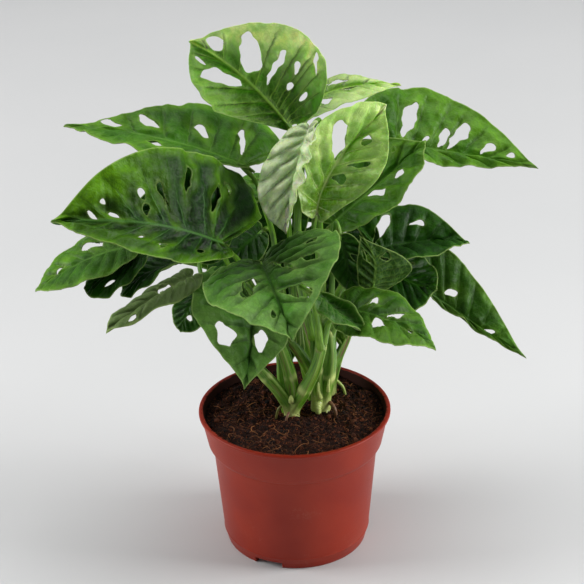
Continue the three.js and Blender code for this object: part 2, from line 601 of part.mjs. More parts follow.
// A blade as a closed solid: the same triangles on both faces, and walls round the margin and
// the holes.
function bladeSolid(spec) {
  const surface = bladeSurface(spec);
  const points = [];
  const found = new Map();
  function vertex(p) {
    const key = p.x.toFixed(3) + "," + p.y.toFixed(3);
    if (!found.has(key)) {
      found.set(key, points.length);
      points.push(p.clone());
    }
    return found.get(key);
  }
  const flat = (side, q, v) => {
    const p = surface.flat(side, q, v);
    return new THREE.Vector2(p.x * surface.length, v === 0 || q === 1 ? 0 : p.y);
  };
  const rings = {};
  const veins = {};
  for (const side of [LEFT, RIGHT]) {
    rings[side] = spec.holes.filter(([s]) => s === side).map((h) => holeRing(surface, h));
    veins[side] = bayVeins(surface, side, rings[side]);
  }
  const shared = [...new Set([...veins[LEFT], ...veins[RIGHT]])].sort((a, b) => a - b);
  const top = [];
  for (const side of [LEFT, RIGHT]) {
    for (let i = 0; i + 1 < veins[side].length; i++) {
      const [q0, q1] = [veins[side][i], veins[side][i + 1]];
      const contour = [];
      const steps = Math.max(1, Math.round((q1 - q0) * MARGIN_STEPS));
      if (q0 > 0) [0, 0.35, 0.7].forEach((v) => contour.push(flat(side, q0, v)));
      for (let k = 0; k <= steps; k++) {
        contour.push(flat(side, q0 + ((q1 - q0) * k) / steps, 1));
      }
      if (q1 < 1) [0.7, 0.35, 0].forEach((v) => contour.push(flat(side, q1, v)));
      const inner = shared.filter((q) => q > q0 + 1e-9 && q < q1 - 1e-9).reverse();
      inner.forEach((q) => contour.push(flat(side, q, 0)));
      const holes = rings[side].filter((ring) => {
        const centre = ring.reduce((s, p) => s.add(p), new THREE.Vector2());
        return insideContour(centre.divideScalar(ring.length), contour);
      });
      // The midrib is laid out bowed inwards by a hair, so that no triangle lies along it.
      const bow = (p) => side * 1e-4 * p.x * (surface.length - p.x);
      const laid = contour.map((p) => (p.y === 0 ? new THREE.Vector2(p.x, bow(p)) : p));
      const all = [contour, ...holes].flat();
      for (const face of THREE.ShapeUtils.triangulateShape(laid, holes)) {
        const [a, b, c] = face.map((j) => all[j]);
        const turned = b.clone().sub(a).cross(c.clone().sub(a));
        const ids = [a, b, c].map(vertex);
        top.push(turned > 0 ? ids : [ids[0], ids[2], ids[1]]);
      }
    }
  }
  return thicken(surface, points, top);
}

// Even-odd test of a point against a closed outline.
function insideContour(p, contour) {
  let inside = false;
  contour.forEach((a, i) => {
    const b = contour[(i + 1) % contour.length];
    if (a.y > p.y !== b.y > p.y && p.x < a.x + ((b.x - a.x) * (p.y - a.y)) / (b.y - a.y)) {
      inside = !inside;
    }
  });
  return inside;
}

// Two faces half a thickness either side of the surface, and a wall on each edge used once.
function thicken(surface, flatPoints, top) {
  const upper = [];
  const lower = [];
  for (const p of flatPoints) {
    const x = p.x / surface.length;
    const at = surface.place(p.y < 0 ? RIGHT : LEFT, x, p.y);
    const n = surface.normal(x, p.y);
    upper.push(at.clone().addScaledVector(n, BLADE / 2));
    lower.push(at.clone().addScaledVector(n, -BLADE / 2));
  }
  const count = upper.length;
  const faces = [];
  const edges = new Set(top.flatMap(([a, b, c]) => [a + "," + b, b + "," + c, c + "," + a]));
  for (const [a, b, c] of top) {
    faces.push([a, b, c], [a + count, c + count, b + count]);
    for (const [i, j] of [[a, b], [b, c], [c, a]]) {
      if (edges.has(j + "," + i)) continue;
      faces.push([j, i, i + count], [j, i + count, j + count]);
    }
  }
  return indexed([...upper, ...lower], faces);
}

// ---- Canes with their petioles ------------------------------------------------------------------
function caneSolid(name, cane) {
  const [x, y] = cane.foot;
  const foot = new THREE.LineCurve3(
    new THREE.Vector3(x, y, CANE_START),
    new THREE.Vector3(x, y, CANE_BEND + 2),
  );
  let made = solid(taperedTube(foot, () => cane.radius, CANE_SIDES, 1));
  for (const [arm, points] of Object.entries(cane.arms)) {
    const line = new THREE.CatmullRomCurve3([[x, y, CANE_BEND], ...points].map(vec));
    const slim = (t) => cane.radius * (1 - CANE_SLIMMING * t);
    made = made.add(solid(taperedTube(line, slim, CANE_SIDES, 5)));
    const leaves = Object.values(blades).filter(
      (spec) => spec.cane === name && (spec.arm ?? "up") === arm,
    );
    leaves.forEach((spec, i) => {
      const node = line.getPointAt(1 - (NODE_SPACING * (i + 0.5)) / line.getLength());
      made = made.add(solid(petiole(node, spec)));
    });
  }
  return made;
}

// A petiole leaves its cane at a node, rises, and bends over to its blade.
function petiole(node, spec) {
  const surface = bladeSurface(spec);
  const up = surface.normal(0, 0);
  const fall = Math.max(0, ...[LEFT, RIGHT].map((side) => -surface.outward(side).dot(up)));
  const end = surface.base
    .clone()
    .addScaledVector(surface.tangent(0), 1)
    .addScaledVector(up, -(BLADE / 2 + GAP + PETIOLE_TIP * (0.9 + fall)));
  const away = end.clone().sub(node).setZ(0).normalize();
  const start = node.clone().addScaledVector(away, NODE_OFFSET);
  const approach = surface.base
    .clone()
    .addScaledVector(surface.tangent(0), -PETIOLE_APPROACH)
    .addScaledVector(up, -(spec.drop ?? PETIOLE_DROP));
  const between = spec.via ? spec.via.map(vec) : [petioleBend(start, approach)];
  const curve = new THREE.CatmullRomCurve3([start, ...between, approach, end]);
  const radiusAt = (t) => PETIOLE_TIP + (PETIOLE_SHEATH - PETIOLE_TIP) * (1 - t) ** 1.5;
  return taperedTube(curve, radiusAt, PETIOLE_SIDES, PETIOLE_STEPS);
}

// The bend of a petiole with no route of its own: most of the rise comes before the spread.
function petioleBend(start, end) {
  const spread = 0.42;
  const rise = 0.68;
  return new THREE.Vector3(
    THREE.MathUtils.lerp(start.x, end.x, spread),
    THREE.MathUtils.lerp(start.y, end.y, spread),
    THREE.MathUtils.lerp(start.z, end.z, rise),
  );
}

// ---- Soil ---------------------------------------------------------------------------------------
function soil() {
  const edge = innerRadius(SOIL_EDGE) - GAP;
  const wall = INSIDE.slice(0, -1).map(([r, z]) => [r - GAP, z]);
  wall[0][1] += GAP;
  const profile = [
    [0, wall[0][1]],
    ...wall,
    [edge, SOIL_EDGE],
    ...SOIL_RINGS.map((r) => [edge * r, SOIL_EDGE + SOIL_MOUND * (1 - r * r)]),
    [0, SOIL_EDGE + SOIL_MOUND],
  ];
  const geometry = lathe(profile, POT_SIDES);
  const at = geometry.attributes.position;
  for (let i = 0; i < at.count; i++) {
    const [x, y, z] = [at.getX(i), at.getY(i), at.getZ(i)];
    const lump = Math.sin(0.21 * x + 1) * Math.cos(0.17 * y) + 0.6 * Math.sin(0.4 * y - 0.3 * x);
    if (z > SOIL_EDGE + 0.2) at.setZ(i, z + SOIL_RELIEF * lump);
  }
  let made = solid(geometry);
  for (const cane of Object.values(canes)) {
    const hole = new THREE.LineCurve3(
      new THREE.Vector3(...cane.foot, CANE_START - GAP),
      new THREE.Vector3(...cane.foot, POT_HEIGHT + 10),
    );
    const room = cane.radius + GAP + CANE_ROOM;
    made = made.subtract(solid(taperedTube(hole, () => room, 12, 1)));
  }
  return made;
}

// ---- The plant ----------------------------------------------------------------------------------
function named(name, geometry, material) {
  const piece = new THREE.Mesh(geometry, material.clone());
  piece.name = name;
  return piece;
}

const plant = new THREE.Group();
plant.add(named("pot", geometryOf(pot()), terracotta));
plant.add(named("soil", geometryOf(soil()), peat));
for (const [name, cane] of Object.entries(canes)) {
  const cutting = new THREE.Group();
  cutting.add(named(name, geometryOf(caneSolid(name, cane)), stemGreen));
  for (const [leaf, spec] of Object.entries(blades)) {
    if (spec.cane !== name) continue;
    cutting.add(named(leaf, bladeSolid(spec), spec.young ? youngGreen : leafGreen));
  }
  plant.add(cutting);
}

export default plant;
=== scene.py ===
# A monstera adansonii in its nursery pot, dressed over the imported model: perforated blades with
# sunken veins, canes with sheathed petioles, crumbly peat, and a satin plastic pot. Shapes are
# worked out in millimetres, on whole arrays, and go into the meshes in metres.
import math

import bmesh
import bpy
import numpy as np
from mathutils import Matrix, Vector


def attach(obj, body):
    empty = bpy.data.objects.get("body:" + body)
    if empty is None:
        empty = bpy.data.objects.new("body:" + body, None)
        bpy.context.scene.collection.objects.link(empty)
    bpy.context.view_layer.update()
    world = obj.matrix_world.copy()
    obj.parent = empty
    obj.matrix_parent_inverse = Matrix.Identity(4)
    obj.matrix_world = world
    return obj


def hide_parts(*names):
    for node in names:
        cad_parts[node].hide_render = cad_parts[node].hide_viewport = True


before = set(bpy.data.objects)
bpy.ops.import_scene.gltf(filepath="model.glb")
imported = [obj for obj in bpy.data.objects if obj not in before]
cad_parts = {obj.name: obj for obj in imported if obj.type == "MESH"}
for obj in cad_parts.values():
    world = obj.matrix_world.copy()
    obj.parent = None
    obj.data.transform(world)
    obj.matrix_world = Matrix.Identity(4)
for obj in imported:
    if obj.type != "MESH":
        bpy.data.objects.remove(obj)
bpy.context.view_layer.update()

MM = 0.001
LEFT = 1  # halves of a blade, seen from above it, looking from its base to its tip
RIGHT = -1

# ---- The plant's measures, in millimetres -------------------------------------------------------
POT_HEIGHT = 91
RIM_RADIUS = 60
BEAD_HEIGHT = 2.2  # the bead round the rim stands out from the collar
BEAD_DEPTH = 1.4
COLLAR_FOOT = 70  # height where the collar starts
COLLAR_FOOT_RADIUS = 54.8
BODY_TOP = 66.5
BODY_TOP_RADIUS = 51.6
BAND_HEIGHT = 8.5  # top of the narrower band at the foot
BAND_RADIUS = 46.4
FOOT_RADIUS = 44.4
FOOT_INNER_RADIUS = 41.6
WALL = 1.2
FLOOR_HEIGHT = 5
NOTCHES = 3
NOTCH_WIDTH = 18
NOTCH_HEIGHT = 4
NOTCH_BEARING = -24  # of the first notch, in degrees from the front; below zero is to the left
DRAINS = 6
DRAIN_RADIUS = 4
DRAIN_CIRCLE = 26  # radius of the circle that the drainage holes lie on
SOIL_EDGE = 85  # height of the soil by the collar
SOIL_MOUND = 2.2  # how much higher it is in the middle

CANES = {
    "cane_front": dict(
        foot=(-2, -5), radius=4.6, pale=0.15,
        arms=dict(
            left=[(-9, -6, 105), (-19, -7, 119), (-33, -5, 136)],
            middle=[(-1, -5, 106), (-4, -5, 123), (-9, -7, 142)],
            right=[(6, -8, 107), (13, -11, 124), (18, -14, 146)],
        ),
    ),
    "cane_middle": dict(
        foot=(16.5, 4), radius=6.1, pale=0.35,
        arms=dict(
            up=[(16, 3, 108), (17, 2, 128), (18, 0, 150)],
            side=[(20, 3, 108), (22, 1, 126), (21, -1, 148)],
        ),
    ),
    "cane_left": dict(
        foot=(15, 16), radius=4.4, pale=0,
        arms=dict(up=[(11, 13, 108), (3, 12, 124), (-7, 12, 138), (-20, 14, 158)]),
    ),
    "cane_back": dict(
        foot=(12, 27), radius=4.4, pale=0,
        arms=dict(up=[(13, 22, 108), (9, 20, 128), (4, 25, 149), (2, 30, 168)]),
    ),
    "cane_right": dict(
        foot=(23.5, 24), radius=3.5, pale=0,
        arms=dict(up=[(27, 27, 107), (35, 33, 126), (39, 40, 150)]),
    ),
}
CANE_BEND = SOIL_EDGE + 5  # height up to which a cane is upright
CANE_SLIMMING = 0.45  # the share of its radius that it loses above there
PETIOLE_TIP = 1.3  # radius by the blade
PETIOLE_SHEATH = 2.8  # radius by the cane
PETIOLE_APPROACH = 8  # how far behind the blade's base a petiole turns up to it
PETIOLE_DROP = 5  # and how far below it
PETIOLE_UNDER = 1.5  # how far under the base it arrives
PETIOLE_ONWARD = 5  # how far it runs on beneath the midrib
PETIOLE_SINK = 0.7  # and how far below the midrib it ends
NODE_SPACING = 4.5  # between two petioles on a cane
NODE_OFFSET = 0.8  # from the cane's middle to where a petiole starts

# Half of a blade laid flat, as (foot of the side vein, along, out), from the sinus at the base
# round the basal lobe to the drip tip. "along" and the foot are shares of the midrib, and "out" is
# a share of the half's width.
HALF_BLADE = np.array([
    (0, 0, 0), (0.015, -0.05, 0.16), (0.03, -0.055, 0.4), (0.05, 0, 0.66), (0.085, 0.11, 0.87),
    (0.15, 0.24, 0.98), (0.24, 0.38, 1), (0.34, 0.52, 0.91), (0.45, 0.65, 0.73),
    (0.57, 0.77, 0.5), (0.7, 0.87, 0.26), (0.84, 0.945, 0.08), (1, 1, 0),
])
WIDEST = 0.38  # share of the midrib where a half is widest
VEIN_BOW = 0.002  # how far a side vein bows towards the tip, as a share of the midrib

# The blades, by the cane (and its arm, where it isn't "up") that their petioles grow from. via are
# points on a petiole's way, and drop is how far below the blade it arrives. base, mid and tip lie
# on the midrib; left and right are the widest points of the two halves. Optional, each as (left,
# right): shift moves a half's widest point towards the tip, lobe lengthens its basal lobe
# backwards, taper narrows it near the base, full widens it near the tip, and bulge arches it
# upwards. wave is the ruffle of the margin: its height, how many, and its phase. bloom is a painted
# backlight glow: how pale the two halves are painted towards their margins, and from which share
# of the midrib on. rib and vein are how far the midrib and the side veins stand up, sunken below
# zero; hollow sinks the blade between its veins near the midrib and darkens it there with painted
# shade, and droop bends it down round its holes. finish names the leaf's colours, and puff is how
# high it swells between its side veins. stands_for is the solid that a blade without one of its
# own belongs to. holes are the openings: which half, then (side vein, share of the way from midrib
# to margin) of both ends, and the width.
BLADES = {
    "leaf_crown": dict(
        cane="cane_back", base=(0, 34, 265), mid=(-27, 24, 301), tip=(-57, 14, 326),
        left=(13, 10, 327), right=(-44, 5, 289), shift=(-0.08, 0.13), lobe=(0.06, 0),
        taper=(0, 0.8), full=(0.3, -0.65), bulge=(4, 4), rib=-0.2, vein=0.5, droop=0.5,
        finish="lime", puff=2.4, backlight_glow=(1, 0.1, 0),
        holes=[
            (LEFT, (0.89, 0.08), (0.86, 0.8), 10), (LEFT, (0.75, 0.85), (0.67, 0.14), 14),
            (LEFT, (0.57, 0.12), (0.56, 0.62), 5.4), (LEFT, (0.46, 0.48), (0.47, 0.63), 4.6),
            (LEFT, (0.43, 0.26), (0.44, 0.37), 4.6), (LEFT, (0.32, 0.36), (0.3, 0.53), 3.7),
            (LEFT, (0.36, 0.76), (0.44, 0.94), 3.5), (RIGHT, (0.76, 0.6), (0.8, 0.9), 2.8),
            (RIGHT, (0.63, 0.2), (0.71, 0.76), 8.2),
        ],
    ),
    "leaf_crown_rear": dict(
        cane="cane_back", base=(7, 55, 261), mid=(27, 62, 277), tip=(69, 66, 278),
        left=(17, 70, 274), right=(34, 44, 274), shift=(-0.25, 0), lobe=(0.35, 0),
        taper=(-0.6, 0.5), full=(-0.5, 0),
        finish="lime", puff=1.4, backlight_glow=(0.6, 0.6, 0.2),
        holes=[
            (LEFT, (0.58, 0.5), (0.7, 0.5), 3), (RIGHT, (0.45, 0.24), (0.52, 0.5), 3),
            (RIGHT, (0.66, 0.15), (0.72, 0.36), 2),
        ],
    ),
    "leaf_right_high": dict(
        cane="cane_right", base=(52, 62, 244), mid=(99, 66, 234), tip=(153, 50, 228),
        left=(89, 100, 262), right=(91, 55, 230), lobe=(0.04, 0), taper=(0, 0.3),
        full=(0.3, -0.5), wave=(1.6, 3.5, 0),
        finish="grass", puff=2, backlight_glow=(0.5, 0.2, 0.3),
        holes=[
            (LEFT, (0.44, 0.09), (0.46, 0.73), 8.4), (LEFT, (0.615, 0.06), (0.62, 0.42), 5.8),
            (LEFT, (0.665, 0.06), (0.67, 0.7), 7.4), (LEFT, (0.79, 0.08), (0.79, 0.62), 4.4),
            (LEFT, (0.86, 0.34), (0.87, 0.72), 3.4), (LEFT, (0.55, 0.03), (0.555, 0.18), 3),
        ],
    ),
    "leaf_centre_young": dict(
        cane="cane_middle", base=(15, -10, 227), mid=(26, 0, 253), tip=(57, 12, 286),
        left=(17, -12, 283), right=(52, -10, 249), shift=(0.24, 0), taper=(0.15, 0.55),
        rib=0.7, vein=0.3, wave=(1.6, 2.5, 0.6),
        finish="fresh", puff=2, backlight_glow=(0.8, 0.5, 0.3),
        holes=[
            (LEFT, (0.64, 0.04), (0.62, 0.77), 9.8), (RIGHT, (0.73, 0.35), (0.74, 0.65), 6),
            (RIGHT, (0.59, 0.3), (0.58, 0.74), 4.2), (RIGHT, (0.53, 0.08), (0.51, 0.4), 5),
            (LEFT, (0.32, 0.8), (0.38, 0.8), 3.5),
        ],
    ),
    "leaf_centre_right": dict(
        cane="cane_middle", base=(24, 25, 204), mid=(57, 30, 232), tip=(82, 30, 256),
        left=(34, 50, 243), right=(59.5, 5, 222), taper=(0, 0.25), full=(0, 1.2),
        wave=(1.5, 2.5, 2),
        finish="grass", puff=1.8,
        holes=[
            (RIGHT, (0.73, 0.35), (0.75, 0.62), 5.4), (RIGHT, (0.59, 0.1), (0.61, 0.5), 6),
            (LEFT, (0.76, 0.62), (0.78, 0.74), 3),
        ],
    ),
    "leaf_right_middle": dict(
        cane="cane_middle", arm="side", base=(53, 24, 187), mid=(82, 32, 188),
        tip=(109.5, 24, 190), left=(71, 51, 204.5), right=(79, 4, 190), lobe=(0.2, 0),
        taper=(-0.5, 0), full=(-0.3, 0.2), bulge=(1, 1),
        rib=0.3, wave=(1.4, 2.5, 1),
        finish="deep", puff=1.6,
        holes=[(LEFT, (0.13, 0.4), (0.41, 0.74), 8), (LEFT, (0.54, 0.47), (0.64, 0.6), 3.3)],
    ),
    "leaf_right_hanging": dict(
        cane="cane_right", base=(84, 44, 149), mid=(111, 35, 132), tip=(146, 15, 114),
        left=(101, 60, 168), right=(110, 32, 130), shift=(-0.3, 0), lobe=(0.4, 0),
        taper=(-0.3, 0), full=(0.3, 0.3), wave=(1.4, 3, 0.5),
        finish="moss", puff=1.8,
        holes=[
            (LEFT, (0.46, 0.2), (0.56, 0.34), 5.4), (LEFT, (0.76, 0.04), (0.81, 0.14), 2.4),
        ],
    ),
    "leaf_right_upturned": dict(
        cane="cane_middle", arm="side", base=(47, -9, 176), mid=(49, -11, 196),
        tip=(40, -11, 213), left=(72, 1, 185), right=(39, -14, 197), shift=(-0.12, 0),
        full=(-0.7, 0), drop=2,
        finish="olive", puff=1.2, rib=0.8,
        holes=[(LEFT, (0.71, 0.32), (0.69, 0.76), 4.6), (RIGHT, (0.7, 0.7), (0.61, 0.4), 5)],
    ),
    "leaf_right_inner": dict(
        cane="cane_middle", arm="side", base=(53, 18, 181), mid=(71, 13, 171),
        tip=(88, 3, 169), left=(83, 33, 175), right=(67, -7, 160), shift=(0.1, 0),
        wave=(1.6, 2.5, 2),
        finish="deep", puff=1.8,
        holes=[(LEFT, (0.5, 0.5), (0.5, 0.62), 1.8)],
    ),
    "leaf_right_low": dict(
        cane="cane_front", arm="right", base=(29, -30, 174), mid=(55, -55, 179),
        tip=(81, -75, 169), left=(61, -25, 180), right=(41, -80, 180), shift=(0.18, 0),
        taper=(0, -0.2), full=(-0.3, 0), wave=(1.2, 2, 1),
        finish="moss", puff=1.9, backlight_glow=(0, 0.5, 0.4),
        holes=[
            (RIGHT, (0.58, 0.25), (0.63, 0.49), 11), (LEFT, (0.69, 0.04), (0.67, 0.57), 4),
            (RIGHT, (0.8, 0.19), (0.85, 0.2), 4.6), (LEFT, (0.48, 0.2), (0.49, 0.5), 4.8),
        ],
    ),
    "leaf_front_curled": dict(
        cane="cane_front", arm="right", base=(13, -62, 201), mid=(27, -70, 191),
        tip=(38, -75, 183), left=(36, -64, 192), right=(18, -79, 193), shift=(0.25, 0),
        full=(1.2, 0.3), bulge=(-6, 2), drop=3,
        finish="curled", puff=0.4,
    ),
    "leaf_front_heart": dict(
        cane="cane_front", arm="middle", base=(-18, -25, 203), mid=(-9, -70, 202),
        tip=(0, -95, 187), left=(28, -60, 233), right=(-48, -75, 204), full=(0.6, 0.35),
        taper=(0, -0.15), bulge=(2, 2),
        wave=(1.4, 2.5, 2.2),
        finish="satin", puff=1.9, backlight_glow=(0.1, 0.6, 0.5),
        holes=[
            (RIGHT, (0.55, 0.22), (0.63, 0.62), 7.5), (RIGHT, (0.57, 0.5), (0.53, 0.34), 3.6),
            (RIGHT, (0.8, 0.46), (0.83, 0.6), 3), (LEFT, (0.4, 0.12), (0.6, 0.4), 3.2),
            (LEFT, (0.54, 0.48), (0.58, 0.76), 6.5), (LEFT, (0.42, 0.6), (0.44, 0.78), 5),
            (LEFT, (0.73, 0.14), (0.77, 0.84), 8),
        ],
    ),
    "leaf_front_low": dict(
        cane="cane_front", arm="left", base=(-25, -20, 176), mid=(-25, -50, 162),
        tip=(-29, -68, 142), left=(-2, -45, 167), right=(-59, -42, 185), shift=(-0.05, 0),
        lobe=(0, 0.26), full=(0, -0.35),
        bulge=(1.5, 1.5), wave=(1.6, 3, 1.2),
        finish="satin", puff=1.7, backlight_glow=(0.6, 0.6, 0.3),
        holes=[
            (RIGHT, (0.59, 0.64), (0.71, 0.6), 12), (LEFT, (0.74, 0.38), (0.6, 0.32), 9.6),
        ],
    ),
    "leaf_left_broad": dict(
        cane="cane_front", arm="left", via=[(-31, -16, 198)],
        base=(-40, -45, 225), mid=(-80, -80, 254), tip=(-130, -90, 260),
        left=(-68, -95, 238), right=(-63, -40, 281), shift=(0, -0.06), lobe=(0.08, 0.44),
        taper=(0.45, -0.4), full=(0.6, 0.3), wave=(1.2, 3, 1), rib=0.35, vein=0.5, hollow=1.7,
        droop=1, finish="quilted", puff=2, backlight_glow=(0.3, 0.85, 0.5),
        holes=[
            (RIGHT, (0.87, 0.1), (0.87, 0.45), 3), (RIGHT, (0.8, 0.1), (0.815, 0.28), 3),
            (RIGHT, (0.8, 0.46), (0.8, 0.6), 3.6), (RIGHT, (0.67, 0.38), (0.665, 0.55), 5.4),
            (RIGHT, (0.69, 0.14), (0.675, 0.32), 4), (RIGHT, (0.59, 0.3), (0.595, 0.62), 3.5),
            (RIGHT, (0.49, 0.5), (0.475, 0.8), 6.2), (RIGHT, (0.35, 0.35), (0.35, 0.68), 6),
            (RIGHT, (0.3, 0.66), (0.32, 0.8), 3),
            (LEFT, (0.66, 0.54), (0.66, 0.4), 2.4), (LEFT, (0.55, 0.54), (0.57, 0.7), 4.5),
            (LEFT, (0.4, 0.42), (0.38, 0.62), 6.5),
        ],
    ),
    "leaf_left_low_outer": dict(
        cane="cane_left", via=[(-44, 16, 196), (-70, 9, 208)], drop=0,
        base=(-95, -5, 206), mid=(-122, -18, 203), tip=(-151, -30, 189),
        left=(-115, -36, 199), right=(-122, 9, 206.5), full=(1.0, 0.5), bulge=(1, 1),
        wave=(1.2, 2.5, 1),
        finish="grass", puff=1.2,
        holes=[(RIGHT, (0.6, 0.62), (0.5, 0.29), 5), (RIGHT, (0.85, 0.24), (0.76, 0.41), 2.1)],
    ),
    "leaf_left_low_middle": dict(
        cane="cane_left", via=[(-48, 10, 192)], drop=1,
        base=(-87, -8, 203), mid=(-104, -18, 197), tip=(-123, -25, 188),
        left=(-107, -35.5, 188), right=(-111, 5, 196), shift=(0.15, 0), bulge=(1, 1),
        wave=(1.6, 3, 1),
        finish="deep", puff=1.5,
        holes=[(LEFT, (0.56, 0.5), (0.64, 0.62), 3)],
    ),
    "leaf_left_low_inner": dict(
        cane="cane_left", base=(-64, 4, 192), mid=(-85, -6, 189), tip=(-102, -16, 180),
        left=(-89, -24, 185.5), right=(-92, 14, 188), shift=(0.25, 0), taper=(1, 0), bulge=(1, 1),
        wave=(1.6, 3, 2),
        finish="deep", puff=1.5,
    ),
    "leaf_left_rolled": dict(
        cane="cane_left", via=[(-41, 13, 178), (-55, -4, 194)],
        base=(-59, -21, 193), mid=(-82, -44, 189), tip=(-108, -56, 174),
        left=(-72, -46, 187.5), right=(-83, -33, 187), bulge=(4, 4), taper=(-0.5, 0.2),
        full=(2.2, 1),
        wave=(1.5, 2.5, 0), finish="rolled", puff=0.9,
        holes=[(LEFT, (0.78, 0.8), (0.73, 0.7), 2), (RIGHT, (0.6, 0.22), (0.5, 0.08), 3)],
    ),
    "leaf_left_small": dict(
        cane="cane_left", base=(-57, 10, 167), mid=(-64, 5, 158), tip=(-69, 0, 145),
        left=(-54, 0, 151), right=(-73, 10, 157), full=(0.5, 0.5), wave=(1.4, 2.5, 0),
        finish="deep", puff=1.6,
        holes=[(LEFT, (0.78, 0.15), (0.65, 0.45), 2.8)],
    ),
    "leaf_left_high": dict(
        cane="cane_left", via=[(-11, 17, 200), (-16, 14, 221)],
        base=(-26, 0, 253), mid=(-73, 0, 271), tip=(-131, 0, 280.5),
        left=(-76, -20, 269), right=(-43, 37, 275), shift=(0, -0.25), lobe=(0, 0.25),
        taper=(0.9, -0.9), full=(0.3, -0.25), wave=(1.6, 3.5, 2), rib=0.35,
        finish="grass", puff=1.5,
        holes=[
            (RIGHT, (0.81, 0.42), (0.86, 0.72), 5.6), (RIGHT, (0.69, 0.37), (0.75, 0.68), 7.8),
            (RIGHT, (0.51, 0.22), (0.55, 0.51), 7.5), (RIGHT, (0.26, 0.16), (0.36, 0.62), 4.6),
            (LEFT, (0.59, 0.44), (0.63, 0.52), 3.4),
        ],
    ),
    "leaf_centre_crinkled": dict(
        cane="cane_middle", base=(12, -5, 279), mid=(3, -20, 255), tip=(-3, -30, 223),
        left=(10, -24, 265), right=(-18.5, -20, 252), shift=(0, 0.1), taper=(0, 0.1),
        wave=(2.2, 5, 0.5),
        vein=-0.7, rib=0.3, finish="pale", puff=2.1, backlight_glow=(0.9, 0.3, 0.1),
    ),
    "leaf_right_shaded": dict(
        cane="cane_right", base=(46, 42, 195), mid=(40, 34, 174), tip=(32, 14, 158),
        left=(53, 30, 176), right=(27, 28, 181),
        finish="deep", puff=0.5,
    ),
    "leaf_left_shaded": dict(
        cane="cane_left", base=(-18, 15, 205), mid=(-33, 1, 198), tip=(-53, -17, 186),
        left=(-26, -3, 187), right=(-41, 19, 203),
        finish="deep", puff=0.5,
    ),
    "leaf_back_high_left": dict(
        cane="cane_back", base=(-24, 36, 216), mid=(-44, 66, 217), tip=(-62, 100, 190),
        left=(-64, 50, 210), right=(-22, 74, 210), bulge=(2, 2), wave=(1.2, 2.5, 1),
        finish="grass", puff=1.3,
        holes=[
            (LEFT, (0.42, 0.22), (0.46, 0.66), 7), (LEFT, (0.6, 0.22), (0.63, 0.64), 6),
            (RIGHT, (0.38, 0.24), (0.42, 0.62), 6), (RIGHT, (0.56, 0.2), (0.6, 0.66), 7),
        ],
    ),
    "leaf_back_high": dict(
        cane="cane_back", base=(-12, 46, 218), mid=(-12, 78, 216), tip=(-18, 104, 188),
        left=(-39, 72, 210), right=(15, 74, 208), bulge=(2, 2), wave=(1.2, 3, 2),
        finish="grass", puff=1.3,
        holes=[
            (LEFT, (0.4, 0.24), (0.44, 0.64), 6), (LEFT, (0.6, 0.2), (0.63, 0.6), 7),
            (RIGHT, (0.46, 0.24), (0.5, 0.68), 8), (RIGHT, (0.66, 0.22), (0.69, 0.62), 5),
        ],
    ),
    "leaf_back_high_right": dict(
        cane="cane_right", base=(31, 58, 204), mid=(38, 84, 196), tip=(48, 103.5, 168),
        left=(16, 86, 190), right=(52, 78, 187), drop=10, bulge=(2, 2), wave=(1.2, 2.5, 0),
        finish="grass", puff=1.3,
        holes=[
            (LEFT, (0.44, 0.22), (0.48, 0.66), 7), (LEFT, (0.64, 0.24), (0.67, 0.6), 5),
            (RIGHT, (0.4, 0.22), (0.44, 0.66), 6), (RIGHT, (0.58, 0.2), (0.62, 0.64), 7),
        ],
    ),
    "leaf_back_left": dict(
        cane="cane_left", base=(-34, 34, 192), mid=(-60, 60, 188), tip=(-86, 84, 162),
        left=(-68, 34, 180), right=(-36, 74, 180), bulge=(2, 2), wave=(1, 2.5, 3),
        finish="deep", puff=1.4,
        holes=[
            (LEFT, (0.46, 0.24), (0.5, 0.64), 6), (RIGHT, (0.42, 0.22), (0.46, 0.62), 6),
            (RIGHT, (0.62, 0.22), (0.65, 0.6), 5),
        ],
    ),
    "leaf_back_middle": dict(
        cane="cane_back", base=(-6, 42, 180), mid=(-12, 76, 176), tip=(-16, 102, 146),
        left=(-36, 64, 165), right=(16, 70, 167), bulge=(2, 2), wave=(1, 3, 1),
        finish="deep", puff=1.4,
        holes=[
            (LEFT, (0.42, 0.22), (0.46, 0.64), 6), (LEFT, (0.62, 0.22), (0.65, 0.6), 5),
            (RIGHT, (0.5, 0.22), (0.54, 0.66), 7),
        ],
    ),
    "leaf_back_right": dict(
        cane="cane_right", base=(38, 58, 166), mid=(56, 80, 159), tip=(72, 99, 130),
        left=(32, 84, 151), right=(74, 62, 149), bulge=(2, 2), wave=(1, 2.5, 2),
        finish="deep", puff=1.4,
        holes=[
            (LEFT, (0.46, 0.22), (0.5, 0.66), 6), (RIGHT, (0.44, 0.22), (0.48, 0.62), 6),
            (RIGHT, (0.64, 0.22), (0.67, 0.6), 4),
        ],
    ),
    "leaf_back_low_left": dict(
        cane="cane_back", base=(-12, 40, 144), mid=(-26, 66, 138), tip=(-38, 88, 112),
        left=(-42, 52, 128), right=(-4, 70, 128), bulge=(1.5, 1.5),
        finish="deep", puff=1.4,
        holes=[(LEFT, (0.5, 0.24), (0.54, 0.62), 5), (RIGHT, (0.48, 0.24), (0.52, 0.62), 5)],
    ),
    "leaf_inner_upper_left": dict(
        cane="cane_left", stands_for="cane_left", base=(-5, 30, 220), mid=(-9, 27, 201),
        tip=(-15, 20, 172), left=(10, 30, 203), right=(-27, 26, 204),
        finish="deep", puff=1.2, holes=[(LEFT, (0.5, 0.3), (0.54, 0.6), 4)],
    ),
    "leaf_inner_upper_right": dict(
        cane="cane_right", stands_for="cane_right", base=(20, 36, 216), mid=(16, 32, 196),
        tip=(9, 24, 168), left=(33, 34, 198), right=(0, 32, 200),
        finish="deep", puff=1.2, holes=[(RIGHT, (0.5, 0.3), (0.54, 0.6), 4)],
    ),
    "leaf_inner_high_left": dict(
        cane="cane_front", arm="left", stands_for="cane_front", base=(-38, -30, 216),
